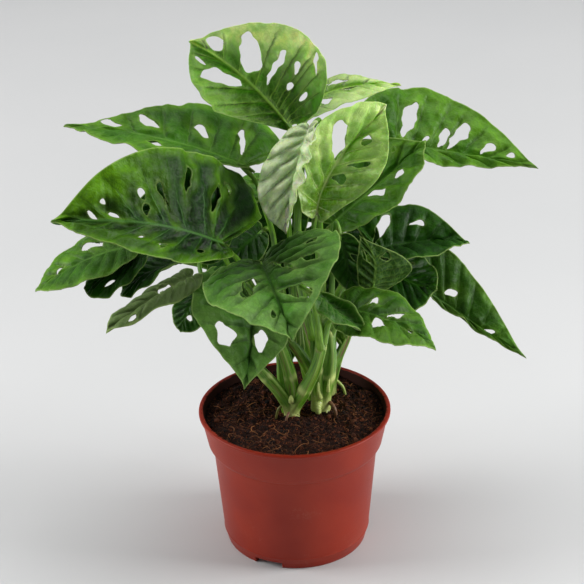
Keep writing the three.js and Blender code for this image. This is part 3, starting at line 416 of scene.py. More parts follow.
        mid=(-59, -41, 245), tip=(-90, -63, 256), left=(-72, -64, 236), right=(-50, -20, 260),
        finish="deep", puff=1.2, holes=[(LEFT, (0.5, 0.3), (0.54, 0.6), 4)],
    ),
    "leaf_inner_right": dict(
        cane="cane_right", stands_for="cane_right", base=(27, 33, 186), mid=(25, 29, 167),
        tip=(19, 20, 138), left=(41, 30, 169), right=(10, 29, 171),
        finish="deep", puff=1.2, holes=[(LEFT, (0.5, 0.3), (0.54, 0.6), 4)],
    ),
    "leaf_inner_left": dict(
        cane="cane_left", stands_for="cane_left", base=(-10, 36, 190), mid=(-8, 32, 168),
        tip=(-3, 23, 138), left=(10, 33, 170), right=(-26, 33, 172),
        finish="deep", puff=1.2, holes=[(RIGHT, (0.5, 0.3), (0.54, 0.6), 4)],
    ),
    "leaf_inner_front_right": dict(
        cane="cane_middle", arm="side", stands_for="cane_middle", base=(29, -1, 208),
        mid=(33, -4, 190), tip=(37, -8, 170), left=(45, -2, 192), right=(21, -4, 192),
        finish="deep", puff=1.4, holes=[(LEFT, (0.5, 0.3), (0.54, 0.6), 4)],
    ),
    "leaf_inner_low": dict(
        cane="cane_back", stands_for="cane_back", base=(-2, 40, 150), mid=(-3, 36, 130),
        tip=(-4, 27, 102), left=(8, 37, 131), right=(-13, 37, 132),
        finish="deep", puff=1.2,
    ),
    "leaf_back_low_right": dict(
        cane="cane_right", base=(20, 50, 132), mid=(32, 74, 124), tip=(44, 94, 100),
        left=(10, 72, 114), right=(48, 60, 114), bulge=(1.5, 1.5),
        finish="deep", puff=1.4,
        holes=[(LEFT, (0.5, 0.24), (0.54, 0.62), 5), (RIGHT, (0.48, 0.24), (0.52, 0.62), 5)],
    ),
}


# ---- Curves, noise and meshes -------------------------------------------------------------------
def unit(v):
    """Vectors over their lengths, along the last axis."""
    return v / np.maximum(np.linalg.norm(v, axis=-1, keepdims=True), 1e-9)


def smoothstep(low, high, x):
    """0 below low and 1 above high, with a smooth cubic 3t^2 - 2t^3 between."""
    t = np.clip((x - low) / (high - low), 0, 1)
    return t * t * (3 - 2 * t)


def hermite(points, t, knot):
    """The smooth curve through points, at shares t of the way: on each stretch the cubic whose end
    slopes are those of a Catmull-Rom spline with knots spaced by chord length to the power knot."""
    points = np.asarray(points, float)
    p = np.vstack([2 * points[0] - points[1], points, 2 * points[-1] - points[-2]])
    s = np.clip(t, 0, 1) * (len(points) - 1)
    i = np.minimum(s.astype(int), len(points) - 2)
    w = (s - i)[..., None]
    a, b, c, d = p[i], p[i + 1], p[i + 2], p[i + 3]
    before, here, after = (
        np.linalg.norm(v, axis=-1, keepdims=True) ** knot for v in (b - a, c - b, d - c)
    )
    leave = here * ((b - a) / before - (c - a) / (before + here) + (c - b) / here)
    arrive = here * ((c - b) / here - (d - b) / (here + after) + (d - c) / after)
    square = 3 * (c - b) - 2 * leave - arrive
    cube = 2 * (b - c) + leave + arrive
    return b + w * (leave + w * (square + w * cube))


def route(points, count):
    """count points at even steps along the smooth curve through points: fine points on the curve,
    read back at equal shares of its running length."""
    fine = hermite(points, np.linspace(0, 1, 600), 0.5)
    run = np.concatenate([[0], np.cumsum(np.linalg.norm(np.diff(fine, axis=0), axis=1))])
    share = np.linspace(0, run[-1], count)
    return np.stack([np.interp(share, run, fine[:, k]) for k in range(3)], axis=1)


def ripples(points, wavelength, seed, waves=7):
    """An irregular swell of about -1 to 1: the sum of plane sine waves in random directions, with
    lengths around the one given."""
    rng = np.random.default_rng(seed)
    length = wavelength * rng.uniform(0.7, 1.5, waves)
    heading = rng.uniform(0, 2 * np.pi, waves)
    k = 2 * np.pi / length * np.stack([np.cos(heading), np.sin(heading)])
    return np.sin(points @ k + rng.uniform(0, 2 * np.pi, waves)).sum(-1) / math.sqrt(waves)


LATTICE = 256  # corners along each side of the noise's lattice, which then repeats


def lattice_noise(points, cell, seed):
    """Smooth noise of 0 to 1 over the plane: random heights on a square lattice, blended between
    its corners with smoothstep weights."""
    heights = np.random.default_rng(seed).random((LATTICE, LATTICE))
    at = points / cell
    corner = np.floor(at).astype(int)
    f = at - corner
    f = f * f * (3 - 2 * f)
    i, j = corner[..., 0] % LATTICE, corner[..., 1] % LATTICE
    i2, j2 = (i + 1) % LATTICE, (j + 1) % LATTICE
    low = heights[i, j] * (1 - f[..., 0]) + heights[i2, j] * f[..., 0]
    high = heights[i, j2] * (1 - f[..., 0]) + heights[i2, j2] * f[..., 0]
    return low * (1 - f[..., 1]) + high * f[..., 1]


def grid_faces(rows, columns, round_columns=False):
    """Two triangles on each cell of a grid of points, numbered row by row; counter-clockwise where
    rows run to the right and columns run up."""
    i, j = np.meshgrid(np.arange(rows - 1), np.arange(columns - (not round_columns)), indexing="ij")
    after = (j + 1) % columns
    a, b = i * columns + j, (i + 1) * columns + j
    c, d = (i + 1) * columns + after, i * columns + after
    return np.stack([a, b, c, a, c, d], axis=-1).reshape(-1, 3)


def whole(faces):
    """The triangles whose three corners differ."""
    return faces[(faces != np.roll(faces, 1, axis=1)).all(1)]


def round_turn(count):
    """count angles, evenly spaced round a circle."""
    return np.linspace(0, 2 * np.pi, count, endpoint=False)


def turned(radius, height, turn):
    """Rings about the Z axis: the points (r cos a, r sin a, z) at the angles a of turn."""
    x, y = radius * np.cos(turn), radius * np.sin(turn)
    return np.stack([x, y, np.broadcast_to(height, x.shape)], axis=-1)


def weld(made):
    """Joins the points of a mesh that lie in the same place."""
    form = bmesh.new()
    form.from_mesh(made.data)
    bmesh.ops.remove_doubles(form, verts=form.verts, dist=1e-6)
    bmesh.ops.dissolve_degenerate(form, edges=form.edges, dist=1e-7)
    form.to_mesh(made.data)
    form.free()


def piece(name, points, faces, finish, stands_for, slot, flat=None, **attributes):
    """A finished mesh object at the origin, from points in millimetres and triangles. flat is its
    UV map in millimetres, and attributes hold three numbers for each point."""
    mesh = bpy.data.meshes.new(name)
    mesh.vertices.add(len(points))
    mesh.vertices.foreach_set("co", (points * MM).astype(np.float32).ravel())
    mesh.loops.add(faces.size)
    mesh.loops.foreach_set("vertex_index", faces.astype(np.int32).ravel())
    mesh.polygons.add(len(faces))
    mesh.polygons.foreach_set("loop_start", np.arange(0, faces.size, 3, dtype=np.int32))
    mesh.polygons.foreach_set("use_smooth", np.ones(len(faces), bool))
    mesh.update(calc_edges=True)
    if flat is not None:
        uv = mesh.uv_layers.new(name="flat")
        uv.data.foreach_set("uv", (flat[faces.ravel()] * MM).astype(np.float32).ravel())
    for key, values in attributes.items():
        layer = mesh.attributes.new(key, "FLOAT_VECTOR", "POINT")
        layer.data.foreach_set("vector", values.astype(np.float32).ravel())
    mesh.validate()
    made = bpy.data.objects.new(name, mesh)
    bpy.context.scene.collection.objects.link(made)
    mesh.materials.append(finish)
    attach(made, "root")
    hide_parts(stands_for)
    return made


def joined(parts):
    """Several (points, faces, grain, marks) as one, with the corners renumbered."""
    starts = np.cumsum([0] + [len(p[0]) for p in parts[:-1]])
    faces = np.concatenate([p[1] + start for p, start in zip(parts, starts)])
    points, grain, marks = (np.concatenate([p[k] for p in parts]) for k in (0, 2, 3))
    return points, faces, grain, marks


def sweep(path, facing, angles, radius):
    """A closed tube along a path, or along a stack of paths: rings about each path point, at the
    angles from the direction that the tube faces, with a radius for each ring and angle, and a fan
    of triangles over each end. Its grain is the place on a straight round rod as long as it."""
    steps, sides = radius.shape[-2:]
    along = unit(np.gradient(path, axis=-2))
    face = unit(facing - (facing * along).sum(-1, keepdims=True) * along)
    aside = np.cross(along, face)
    around = (
        np.cos(angles)[:, None] * face[..., None, :] + np.sin(angles)[:, None] * aside[..., None, :]
    )
    rings = path[..., None, :] + radius[..., None] * around
    rings = rings.reshape(-1, steps * sides, 3)
    ends = path.reshape(-1, steps, 3)[:, [0, -1]]
    points = np.concatenate([rings, ends], axis=1)
    k = np.arange(sides)
    after = (k + 1) % sides
    last = (steps - 1) * sides
    start_cap = np.stack([np.full(sides, steps * sides), after, k], axis=1)
    end_cap = np.stack([np.full(sides, steps * sides + 1), last + k, last + after], axis=1)
    body = grid_faces(steps, sides, round_columns=True)[:, ::-1]
    faces = np.concatenate([body, start_cap, end_cap])
    each = points.shape[1]
    faces = (faces + each * np.arange(len(points))[:, None, None]).reshape(-1, 3)
    run = np.linalg.norm(np.diff(path, axis=-2), axis=-1)
    run = np.concatenate([np.zeros(run.shape[:-1] + (1,)), np.cumsum(run, axis=-1)], axis=-1)
    run = np.broadcast_to(run[..., None], radius.shape).reshape(len(points), -1)
    size = radius.mean()
    turn = np.broadcast_to(angles, radius.shape).reshape(len(points), -1)
    grain = np.stack([size * np.cos(turn), size * np.sin(turn), run], axis=-1)
    middle = np.zeros_like(run[:, :2])
    tips = np.stack([middle, middle, run[:, [0, -1]]], axis=-1)
    grain = np.concatenate([grain, tips], axis=1).reshape(-1, 3)
    return points.reshape(-1, 3), faces, grain


# ---- Leaf blades --------------------------------------------------------------------------------
BLADE = 0.55  # thickness
EDGE_BULGE = 0.35  # of the rounded edge, as a share of the thickness
RIB_KEEL = 1.1  # how far the midrib stands out under the blade
VEIN_KEEL = 0.35
CELL = 0.95  # size of the mesh's cells
FEWEST_ROWS = 24
FEWEST_COLUMNS = 8
BAY = 0.1  # share of a half between side veins where it has no holes
END_BAYS = (0.03, 0.97)  # middles of the first bay and the last
MARGIN_STEPS = 400
FAR = 99.0  # a level outside every hole
HOLE_TAPER = 0.35  # how much narrower a hole is towards the midrib
HOLE_WARP = 0.7  # how far its edge strays from an ellipse
WARP_LENGTHS = (12, 9)  # wavelengths of that straying, along the blade and out from its midrib
WARP_SEEDS = (31, 32)
LEAN = 1.35  # of the swelling between two side veins, towards the one nearer the tip
RIB_HEIGHT = -0.45
RIB_BREADTH = 1.1
VEIN_HEIGHT = -0.35
VEIN_BREADTH = 0.8
DROOP = 0.4
DROOP_BREADTH = 2.2
LIP_HEIGHT = 0.25
LIP_BREADTH = 1.1
CRUMPLE = 0.3  # height of a blade's wide swells, as a share of its puff
WRINKLE = 0.14  # and of its fine ones
RUFFLE_OFFSET = 1.7  # phase of the right margin's ruffle against the left one's
STEP_AHEAD = 0.6  # the short steps along a blade's surface that give its upward direction
STEP_OUT = 0.3
BEZIER_STEPS = np.linspace(0, 1, 201)


class Blade:
    """A blade's form: a midrib bent through base, mid and tip, and two halves that reach from it
    to their widest points."""

    def __init__(self, spec):
        self.base, mid, self.tip = (np.array(spec[k], float) for k in ("base", "mid", "tip"))
        self.bend = 2 * mid - (self.base + self.tip) / 2
        steps = np.linalg.norm(np.diff(self.curve(BEZIER_STEPS), axis=0), axis=1)
        self.run = np.concatenate([[0], np.cumsum(steps)])
        self.length = self.run[-1]
        shaped = ("shift", "lobe", "taper", "full", "bulge")
        both = {k: spec.get(k, (0, 0)) for k in shaped}
        self.of = {side: {k: v[side == RIGHT] for k, v in both.items()} for side in (LEFT, RIGHT)}
        self.wave = spec.get("wave", (1, 2.5, 0))
        self.reach, self.width = {}, {}
        for side, key in ((LEFT, "left"), (RIGHT, "right")):
            self.reach[side] = np.array(spec[key], float) - self.axis(self.along(side, WIDEST, 1))
            self.width[side] = np.linalg.norm(self.reach[side])

    def curve(self, t):
        """The quadratic curve (1-t)^2 base + 2t(1-t) bend + t^2 tip."""
        t = np.asarray(t, float)[..., None]
        return (1 - t) ** 2 * self.base + 2 * t * (1 - t) * self.bend + t * t * self.tip

    def share(self, x):
        """The curve's own parameter at the share x of its running length."""
        return np.interp(np.clip(x, 0, 1) * self.length, self.run, BEZIER_STEPS)

    def axis(self, x):
        """The midrib at the share x, straight on behind the base."""
        back = unit(self.bend - self.base) * self.length
        return self.curve(self.share(x)) + np.minimum(x, 0)[..., None] * back

    def tangent(self, x):
        """The midrib's direction at the share x: the curve's first derivative, made a unit."""
        t = self.share(x)[..., None]
        return unit((1 - t) * (self.bend - self.base) + t * (self.tip - self.bend))

    def along(self, side, x, out):
        """The margin's place along the midrib: moved by 4x(1-x) times the shift towards the tip,
        and by (1-x)^3 times the lobe backwards."""
        of = self.of[side]
        x = np.asarray(x, float)
        inside = np.clip(x, 0, 1)
        moved = x + 4 * of["shift"] * inside * (1 - inside)
        return moved - of["lobe"] * (1 - inside) ** 3 * np.minimum(1, np.asarray(out) / 0.4)

    def flat(self, side, q, v):
        """The half laid flat, in millimetres: the point at the share v of the way out along the
        side vein q, which runs nearly straight from its foot on the midrib to the margin."""
        foot, along, out = np.moveaxis(hermite(HALF_BLADE, np.asarray(q, float), 0), -1, 0)
        near = np.clip(1 - along / WIDEST, 0, 1.2)
        x = np.clip(foot, 0, 1) * (1 - v) + self.along(side, along, out) * v
        of = self.of[side]
        out = np.maximum(out, 0) * (1 - of["taper"] * near**1.5) * self.width[side]
        out = out * (1 + of["full"] * np.clip(2 * along - 1, 0, 1) ** 2)
        x = x + VEIN_BOW * 4 * v * (1 - v)
        return np.stack([x * self.length, side * out * v], axis=-1)

    def place(self, side, flat):
        """The blade's surface over its flat map: out from the midrib along the half's own
        direction, arched by its bulge and ruffled by a sine wave that grows to the margin."""
        x, out = flat[..., 0] / self.length, np.abs(flat[..., 1])
        outward = unit(self.reach[side])
        up = unit(np.cross(self.tangent(x), outward) * side)
        u = out / self.width[side]
        height, waves, phase = self.wave
        turn = 2 * np.pi * waves * x + phase + (0 if side == LEFT else RUFFLE_OFFSET)
        lift = 4 * self.of[side]["bulge"] * u * (1 - u) + height * u * u * np.sin(turn)
        return self.axis(x) + out[..., None] * outward + lift[..., None] * up

    def normal(self, side, flat):
        """The surface's upward direction, from short steps along it; the halves share one on the
        midrib."""
        here = self.place(side, flat)
        ahead = self.place(side, flat + (STEP_AHEAD, 0)) - here
        across = self.place(side, flat + (0, STEP_OUT * side)) - here
        return unit(np.cross(ahead, across) * side)

    def surface(self, flat, out):
        """Places and upward directions of a flat map's points; out is above zero on the left."""
        where, up = np.empty((len(flat), 3)), np.empty((len(flat), 3))
        for side in (LEFT, RIGHT):
            mine = (out > 0) == (side == LEFT)
            where[mine], up[mine] = self.place(side, flat[mine]), self.normal(side, flat[mine])
        on_rib = np.abs(flat[:, 1]) < 1e-6
        up[on_rib] = unit(self.normal(LEFT, flat[on_rib]) + self.normal(RIGHT, flat[on_rib]))
        return where, up

    def holes(self, spec):
        """Each hole as its centre, its half length and half width as vectors, and its q."""
        for side, start, end, width in spec.get("holes", ()):
            a, b = self.flat(side, *start), self.flat(side, *end)
            half = (b - a) / 2
            sideways = unit(np.array([-half[1], half[0]])) * width / 2
            yield side, (a + b) / 2, half, sideways, (start[0] + end[0]) / 2


def hole_level(flat, centre, half, sideways):
    """0 in the middle of a hole and 1 on its edge: an ellipse along the side vein, whose width
    shrinks towards the midrib and whose plane is warped a little by ripples."""
    warp = np.stack([ripples(flat, *k) for k in zip(WARP_LENGTHS, WARP_SEEDS)], axis=-1)
    flat = flat + HOLE_WARP * warp * smoothstep(0, 5, np.linalg.norm(half))
    a = (flat - centre) @ half / (half @ half)
    b = (flat - centre) @ sideways / (sideways @ sideways)
    return np.hypot(a, b / (1 + HOLE_TAPER * np.clip(a, -1, 1)))


def side_veins(qs):
    """The side veins of a half, as q: midway between its bays. A bay lies round each hole, and
    the stretches without holes are shared out evenly."""
    first, last = END_BAYS
    marks = [first, *sorted(qs), last]
    middles = [
        np.linspace(a, b, max(1, round((b - a) / BAY)), endpoint=False)
        for a, b in zip(marks, marks[1:])
        if b - a > 0.02
    ]
    middles = np.concatenate([*middles, [last]])
    return np.concatenate([[0], (middles[1:] + middles[:-1]) / 2, [1]])


def boundary(faces):
    """The directed edges of a patch of triangles that only one of them has."""
    edges = np.concatenate([faces[:, [0, 1]], faces[:, [1, 2]], faces[:, [2, 0]]])
    low, high = edges.min(1), edges.max(1)
    number = low * (high.max() + 1) + high
    _, first, count = np.unique(number, return_index=True, return_counts=True)
    return edges[first[count == 1]]


def blade_grid(blade, holes):
    """Both halves as one grid of side veins (rows) and steps out from the midrib (columns), in even
    cells. For each point: its place on the flat map, its bay between side veins as a running
    number, how wide the bay is there, and its share of the way out, below zero on the right half.
    Then the triangles and the two margins."""
    veins = {s: side_veins([h[4] for h in holes if h[0] == s]) for s in (LEFT, RIGHT)}
    dense = np.linspace(0, 1, MARGIN_STEPS)
    margins = [blade.flat(s, dense, np.ones(MARGIN_STEPS)) for s in (LEFT, RIGHT)]
    run = sum(np.linalg.norm(np.diff(m, axis=0), axis=1) for m in margins) / 2
    run = np.concatenate([[0], np.cumsum(run)])
    rows = max(FEWEST_ROWS, round(run[-1] / CELL))
    q = np.interp(np.linspace(0, run[-1], rows), run, dense)
    halves, bays, spreads, outs = [], [], [], []
    for side in (RIGHT, LEFT):
        columns = max(FEWEST_COLUMNS, round(blade.width[side] / CELL)) + 1
        v = np.linspace(0, 1, columns)
        if side == RIGHT:
            v = v[:0:-1]
        grid = blade.flat(side, *np.meshgrid(q, v, indexing="ij"))
        bay = np.interp(q, veins[side], np.arange(len(veins[side])))
        spread = np.linalg.norm(np.gradient(grid, axis=0), axis=-1)
        halves.append(grid)
        bays.append(np.broadcast_to(bay[:, None], grid.shape[:2]))
        spreads.append(spread / np.maximum(np.gradient(bay)[:, None], 1e-3))
        outs.append(np.broadcast_to(v * side, grid.shape[:2]))
    flat, bay, spread, out = (np.concatenate(k, axis=1) for k in (halves, bays, spreads, outs))
    columns = flat.shape[1]
    ids = np.arange(rows * columns).reshape(rows, columns)
    ids[0], ids[-1] = ids[0, 0], ids[-1, 0]
    faces = ids.ravel()[grid_faces(rows, columns)]
    flat = flat.reshape(-1, 2)
    flat[ids[0, 0]], flat[ids[-1, 0]] = (0, 0), (blade.length, 0)
    return flat, bay.ravel(), spread.ravel(), out.ravel(), faces, margins


def open_holes(flat, faces, holes):
    """Drops the cells inside the holes, and draws the points round each hole, in the flat map
    itself, onto its edge along the lines from its middle. Gives the triangles that stay, and the
    level of every hole at every point."""
    level = np.full((max(1, len(holes)), len(flat)), FAR)
    for k, (_, *oval, _) in enumerate(holes):
        level[k] = hole_level(flat, *oval)
    keep = (level[:, faces].mean(-1) >= 1).all(0)
    kept, dropped = np.unique(faces[keep]), np.unique(faces[~keep])
    moving = np.isin(np.arange(len(flat)), kept) & (
        np.isin(np.arange(len(flat)), dropped) | (level.min(0) < 1)
    )
    nearest = level.argmin(0)
    for k, (_, *oval, _) in enumerate(holes):
        mine = moving & (nearest == k)
        for _ in range(5):
            scale = hole_level(flat[mine], *oval)
            flat[mine] = oval[0] + (flat[mine] - oval[0]) / scale[:, None]
        level[k] = hole_level(flat, *oval)
    return whole(faces[keep]), level


def shell(where, up, depth, faces):
    """A surface made a closed shell: a top half a thickness above it, an underside the given depth
    below it, and a wall that bulges halfway up. Gives the points, the triangles, the surface point
    under each of them, and 0 for the top, 1 for the underside and a half between."""
    top = where + up * BLADE / 2
    under = where - up * depth[:, None]
    edges = boundary(faces)
    lip, lip_of = np.unique(edges, return_inverse=True)
    lip_of = lip_of.reshape(-1, 2)
    leaning = np.zeros_like(where)
    facing = unit(np.cross(where[edges[:, 1]] - where[edges[:, 0]], up[edges[:, 0]]))
    np.add.at(leaning, edges.ravel(), np.repeat(facing, 2, axis=0))
    bulge = where[lip] + EDGE_BULGE * BLADE * unit(leaning[lip])
    count = len(where)
    a, b = edges.T
    am, bm = lip_of.T + 2 * count
    walls = [(b, a, am), (b, am, bm), (bm, am, a + count), (bm, a + count, b + count)]
    walls = np.concatenate([np.stack(w, axis=1) for w in walls])
    points = np.concatenate([top, under, bulge])
    faces = np.concatenate([faces, faces[:, ::-1] + count, walls])
    layers = np.concatenate([np.arange(count), np.arange(count), lip])
    return points, faces, layers, np.repeat([0, 1, 0.5], [count, count, len(lip)])


def blade_piece(name, spec, seed):
    """A blade: a grid over its two halves, opened by its holes, laid along its midrib, raised by
    its relief, and made a closed shell with a keel under the midrib and each side vein."""
    blade = Blade(spec)
    holes = list(blade.holes(spec))
    flat, bay, spread, out, faces, margins = blade_grid(blade, holes)
    faces, level = open_holes(flat, faces, holes)
    kept, faces = np.unique(faces, return_inverse=True)
    faces = faces.reshape(-1, 3)
    flat, bay, spread, out, level = flat[kept], bay[kept], spread[kept], out[kept], level[:, kept]

    across = np.array([np.linalg.norm(h[3]) for h in holes] or [1.0])
    opening = np.maximum(((level - 1) * across[:, None]).min(0), 0)
    rim = opening.copy()
    for margin in margins:
        gap = np.linalg.norm(flat[:, None] - margin[None, ::2], axis=-1).min(1)
        rim = np.minimum(rim, gap)
    rim[np.unique(boundary(faces))] = 0

    where, up = blade.surface(flat, out)
    where += relief(blade, spec, flat, bay, spread, out, rim, opening, seed)[:, None] * up
    out_share, along = np.abs(out), flat[:, 0] / blade.length
    # Painted light and shade for the colour: a painted backlight glow towards the margins, and
    # painted shade in the hollows between the veins.
    left, right, start = spec.get("backlight_glow", (0, 0, 0))
    backlight_glow = np.where(out > 0, left, right) * smoothstep(0.1, 0.75, out_share)
    backlight_glow = backlight_glow * smoothstep(start - 0.3, start + 0.2, along)
    shade = spec.get("hollow", 0) * smoothstep(0.85, 0.45, out_share)
    shade = shade * smoothstep(0, 0.12, out_share) * np.sin(np.pi * (bay - np.floor(bay))) ** 2
    keel = np.exp(-((flat[:, 1] / 1.3) ** 2)) * (1 - 0.75 * along)
    off = np.abs(bay - np.round(bay)) * spread
    branch = np.exp(-((off / 0.9) ** 2)) * smoothstep(1, 0.1, out_share) * (out_share > 0.02)
    depth = BLADE / 2 + RIB_KEEL * keel + VEIN_KEEL * branch
    points, faces, layers, below = shell(where, up, depth, faces)
    return piece(
        name,
        points,
        faces,
        finishes[spec["finish"]],
        spec.get("stands_for", name.replace("blade", "leaf")),
        "young_leaf" if spec["finish"] in YOUNG else "leaf",
        flat[layers] + (0, 200 * seed),
        tints=np.stack([np.linalg.norm(flat, axis=1), backlight_glow, shade], axis=1)[layers],
        vein_frame=np.stack([bay, spread, out_share], axis=1)[layers],
        blade_edge=np.stack([rim[layers], below, np.abs(flat[layers, 1])], axis=1),
    )


def relief(blade, spec, flat, bay, spread, out, rim, opening, seed):
    """How far the surface rises, in millimetres: between side veins a half sine that leans to one
    of them, fades at the midrib and the margin, and turns down near the midrib of a hollow leaf;
    the height of the veins and the midrib; an irregular swell; a rolled lip on every edge; and a
    drop round each hole."""
    out = np.abs(out)
    puff = spec["puff"]
    between = np.sin(np.pi * (bay - np.floor(bay)) ** LEAN) ** 0.75
    room = np.clip(spread / 9, 0, 1.2)
    window = smoothstep(0.02, 0.2, out) * (1 - 0.75 * smoothstep(0.7, 1, out))
    sunk = 1 - spec.get("hollow", 0) * smoothstep(0.75, 0.4, out)
    swell = puff * between * room * window * sunk
    off = np.abs(bay - np.round(bay)) * spread
    vein = spec.get("vein", VEIN_HEIGHT) * np.exp(-((off / VEIN_BREADTH) ** 2)) * window
    rib = spec.get("rib", RIB_HEIGHT) * np.exp(-((flat[:, 1] / RIB_BREADTH) ** 2))
    rib = rib * smoothstep(1, 0.6, flat[:, 0] / blade.length)
    crumple = CRUMPLE * puff * ripples(flat, 12, seed) + WRINKLE * ripples(flat, 4.5, seed + 50)
    crumple = crumple * smoothstep(0, 4, np.abs(flat[:, 1]))
    drop = spec.get("droop", DROOP) * np.exp(-((opening / DROOP_BREADTH) ** 2))
    lip = LIP_HEIGHT * np.exp(-((rim / LIP_BREADTH) ** 2))
    return swell + vein + rib + crumple + lip - drop


# ---- Canes, petioles and roots ------------------------------------------------------------------
STEM_START = 80  # height where the drawn canes start, under the soil's top
CANE_STEPS = 90
CANE_PLACES = 400  # points along a shoot at which a petiole may leave it
CANE_SLIMS_OVER = 60  # the height in which a cane loses its share of radius
SCAR_SWELL = 0.07  # of a cane at an old leaf scar, as a share of its radius
RIDGE_HEIGHT = 0.13  # of a sheath's edges round a cane, likewise
CHANNEL_DEPTH = 0.22
PETIOLE_STEPS = 70
JOINT_DISTANCE = 8  # from a blade to the swollen joint of its petiole
JOINT_SWELL = 0.28
WING_HEIGHT = 1.9
OFFSHOOT_STEPS = 24
OFFSHOOT_SIDES = 12
SECTION = np.linspace(-1, 1, 33)[:-1]
PETIOLE_ANGLES = np.pi * (0.45 * SECTION + 0.55 * SECTION**3)  # closer together in the channel
CANE_ANGLES = np.pi * SECTION
WING_ANGLE = 0.72  # of a sheath's two edges, from the middle of its channel
SHEATH_LENGTH = 46
JOINT_EVERY = 34  # between the old leaf scars on a cane


def stem_marks(marks):
    """Marks of a tube's rings, with zeros for the middles of its two ends."""
    return np.concatenate([marks.reshape(-1, 3), np.zeros((2, 3))])


def cane_arm(cane, points, seed):
    """One shoot of a cane: a tube that slims from the foot up and closes over its tip, with a low
    swelling at each old leaf scar, and a channel between two ridges where a sheath wraps it."""
    x, y = cane["foot"]
    path = route([(x, y, STEM_START), (x, y, CANE_BEND), *points], CANE_STEPS)
    run = np.linspace(0, 1, CANE_STEPS)[:, None]
    length = np.linalg.norm(np.diff(path, axis=0), axis=1).sum()
    slim = 1 - CANE_SLIMMING * np.clip((path[:, 2:] - CANE_BEND) / CANE_SLIMS_OVER, 0, 1)
    joint = ((run * length + 11 + 3.1 * seed) / JOINT_EVERY) % 1
    swell = np.exp(-(((joint - 0.5) / 0.12) ** 2))
    angle = np.abs((CANE_ANGLES - 0.5 * math.sin(2.3 * seed) + np.pi) % (2 * np.pi) - np.pi)
    ridge = np.exp(-(((angle - WING_ANGLE) / 0.26) ** 2))
    channel = np.exp(-((angle / 0.4) ** 2))
    grown = smoothstep(CANE_BEND - 1, CANE_BEND + 16, path[:, 2:])
    tip = np.sqrt(1 - smoothstep(0.93, 1, run) ** 2 * 0.9)
    radius = cane["radius"] * slim * (1 + SCAR_SWELL * swell) * tip
    radius = radius * (1 + grown * (RIDGE_HEIGHT * ridge - CHANNEL_DEPTH * channel))
    radius = radius * (1 + 0.03 * np.sin(3 * CANE_ANGLES + 9 * run + seed))
    facing = np.array([0.4 * math.sin(2.1 * seed), -1.0, 0.2])
    points, faces, grain = sweep(path, facing, CANE_ANGLES, radius)
    edge = grown * np.exp(-(((angle - WING_ANGLE) / 0.12) ** 2))
    scar = np.exp(-(((joint - 0.46) / 0.018) ** 2)) * smoothstep(0.2, 1.6, angle)
    pale = 0.6 * np.exp(-(((joint - 0.53) / 0.09) ** 2)) + 0.9 * smoothstep(106, 88, path[:, 2:])
    # Less pale along the channel, down to the brown of values below zero: painted shade in the
    # groove.
    pale = np.clip(cane["pale"] + pale, 0, 1) * np.ones_like(radius) - 0.4 * channel * grown
    return points, faces, grain, stem_marks(np.stack([edge, scar, pale], axis=-1))


def petiole(node, spec):
    """A petiole: from its cane it rises and bends over to its blade. Its section is a circle with
    a channel along the upper side, winged where it is a sheath round its cane, and swollen to a
    joint under the blade."""
    blade = Blade(spec)
    up = unit(blade.normal(LEFT, np.zeros((1, 2)))[0] + blade.normal(RIGHT, np.zeros((1, 2)))[0])
    tangent = blade.tangent(0.0)
    under = blade.base - up * PETIOLE_UNDER
    away = unit((under - node) * (1, 1, 0))
    start = node + NODE_OFFSET * away
    approach = blade.base - PETIOLE_APPROACH * tangent - spec.get("drop", PETIOLE_DROP) * up
    bend = [start + (approach - start) * (0.42, 0.42, 0.68)]
    end = blade.base + PETIOLE_ONWARD * tangent - up * PETIOLE_SINK
    path = route([start, *spec.get("via", bend), approach, under, end], PETIOLE_STEPS)
    length = np.linalg.norm(np.diff(path, axis=0), axis=1).sum()
    t = np.linspace(0, 1, PETIOLE_STEPS)[:, None]
    core = PETIOLE_TIP + (PETIOLE_SHEATH - PETIOLE_TIP) * (1 - t) ** 1.5
    joint = np.exp(-(((1 - t) * length - JOINT_DISTANCE) / 4) ** 2)
    blunt = smoothstep(0, 5, (1 - t) * length)
    theta = np.abs(PETIOLE_ANGLES)
    channel = np.exp(-((theta / 0.5) ** 2)) * (0.2 + 0.25 * (1 - t))
    risen = t * length
    sheath = smoothstep(SHEATH_LENGTH, SHEATH_LENGTH * 0.35, risen) * smoothstep(-3, 4, risen)
    wing = np.exp(-(((theta - WING_ANGLE) / 0.15) ** 2)) * sheath
    radius = core * (1 + JOINT_SWELL * joint) * (1 - channel) * (0.35 + 0.65 * blunt)
    radius = radius + WING_HEIGHT * wing
    facing = np.array([-away[0], -away[1], 0.7])
    points, faces, grain = sweep(path, facing, PETIOLE_ANGLES, radius)
    edge = np.exp(-(((theta - WING_ANGLE) / 0.1) ** 2)) * smoothstep(0.05, 0.3, sheath)
    # Less pale along the channel, down to brown: painted shade in the groove.
    pale = 0.1 + 0.35 * (1 - t) ** 2 - 0.25 * joint - 0.3 * channel + 0 * theta
    return points, faces, grain, stem_marks(np.stack([edge, 0 * pale, pale], axis=-1))


def offshoot(points, thick, thin, pale):
    """A root, a bud or a spare petiole: a round tube along a few points, slimming evenly, closed
    at both ends."""
    path = route(points, OFFSHOOT_STEPS)
    angles = round_turn(OFFSHOOT_SIDES) - np.pi
    t = np.linspace(0, 1, OFFSHOOT_STEPS)[:, None]
    radius = (thick + (thin - thick) * t) * (1 + 0.08 * np.sin(40 * t + 2 * angles))
    radius = radius * np.sqrt(1 - 0.9 * smoothstep(0.75, 1, t) ** 2)
    points, faces, grain = sweep(path, np.array([0.3, -1, 0.2]), angles, radius)
    marks = np.broadcast_to([0, 0, pale], radius.shape + (3,))
    return points, faces, grain, stem_marks(marks)


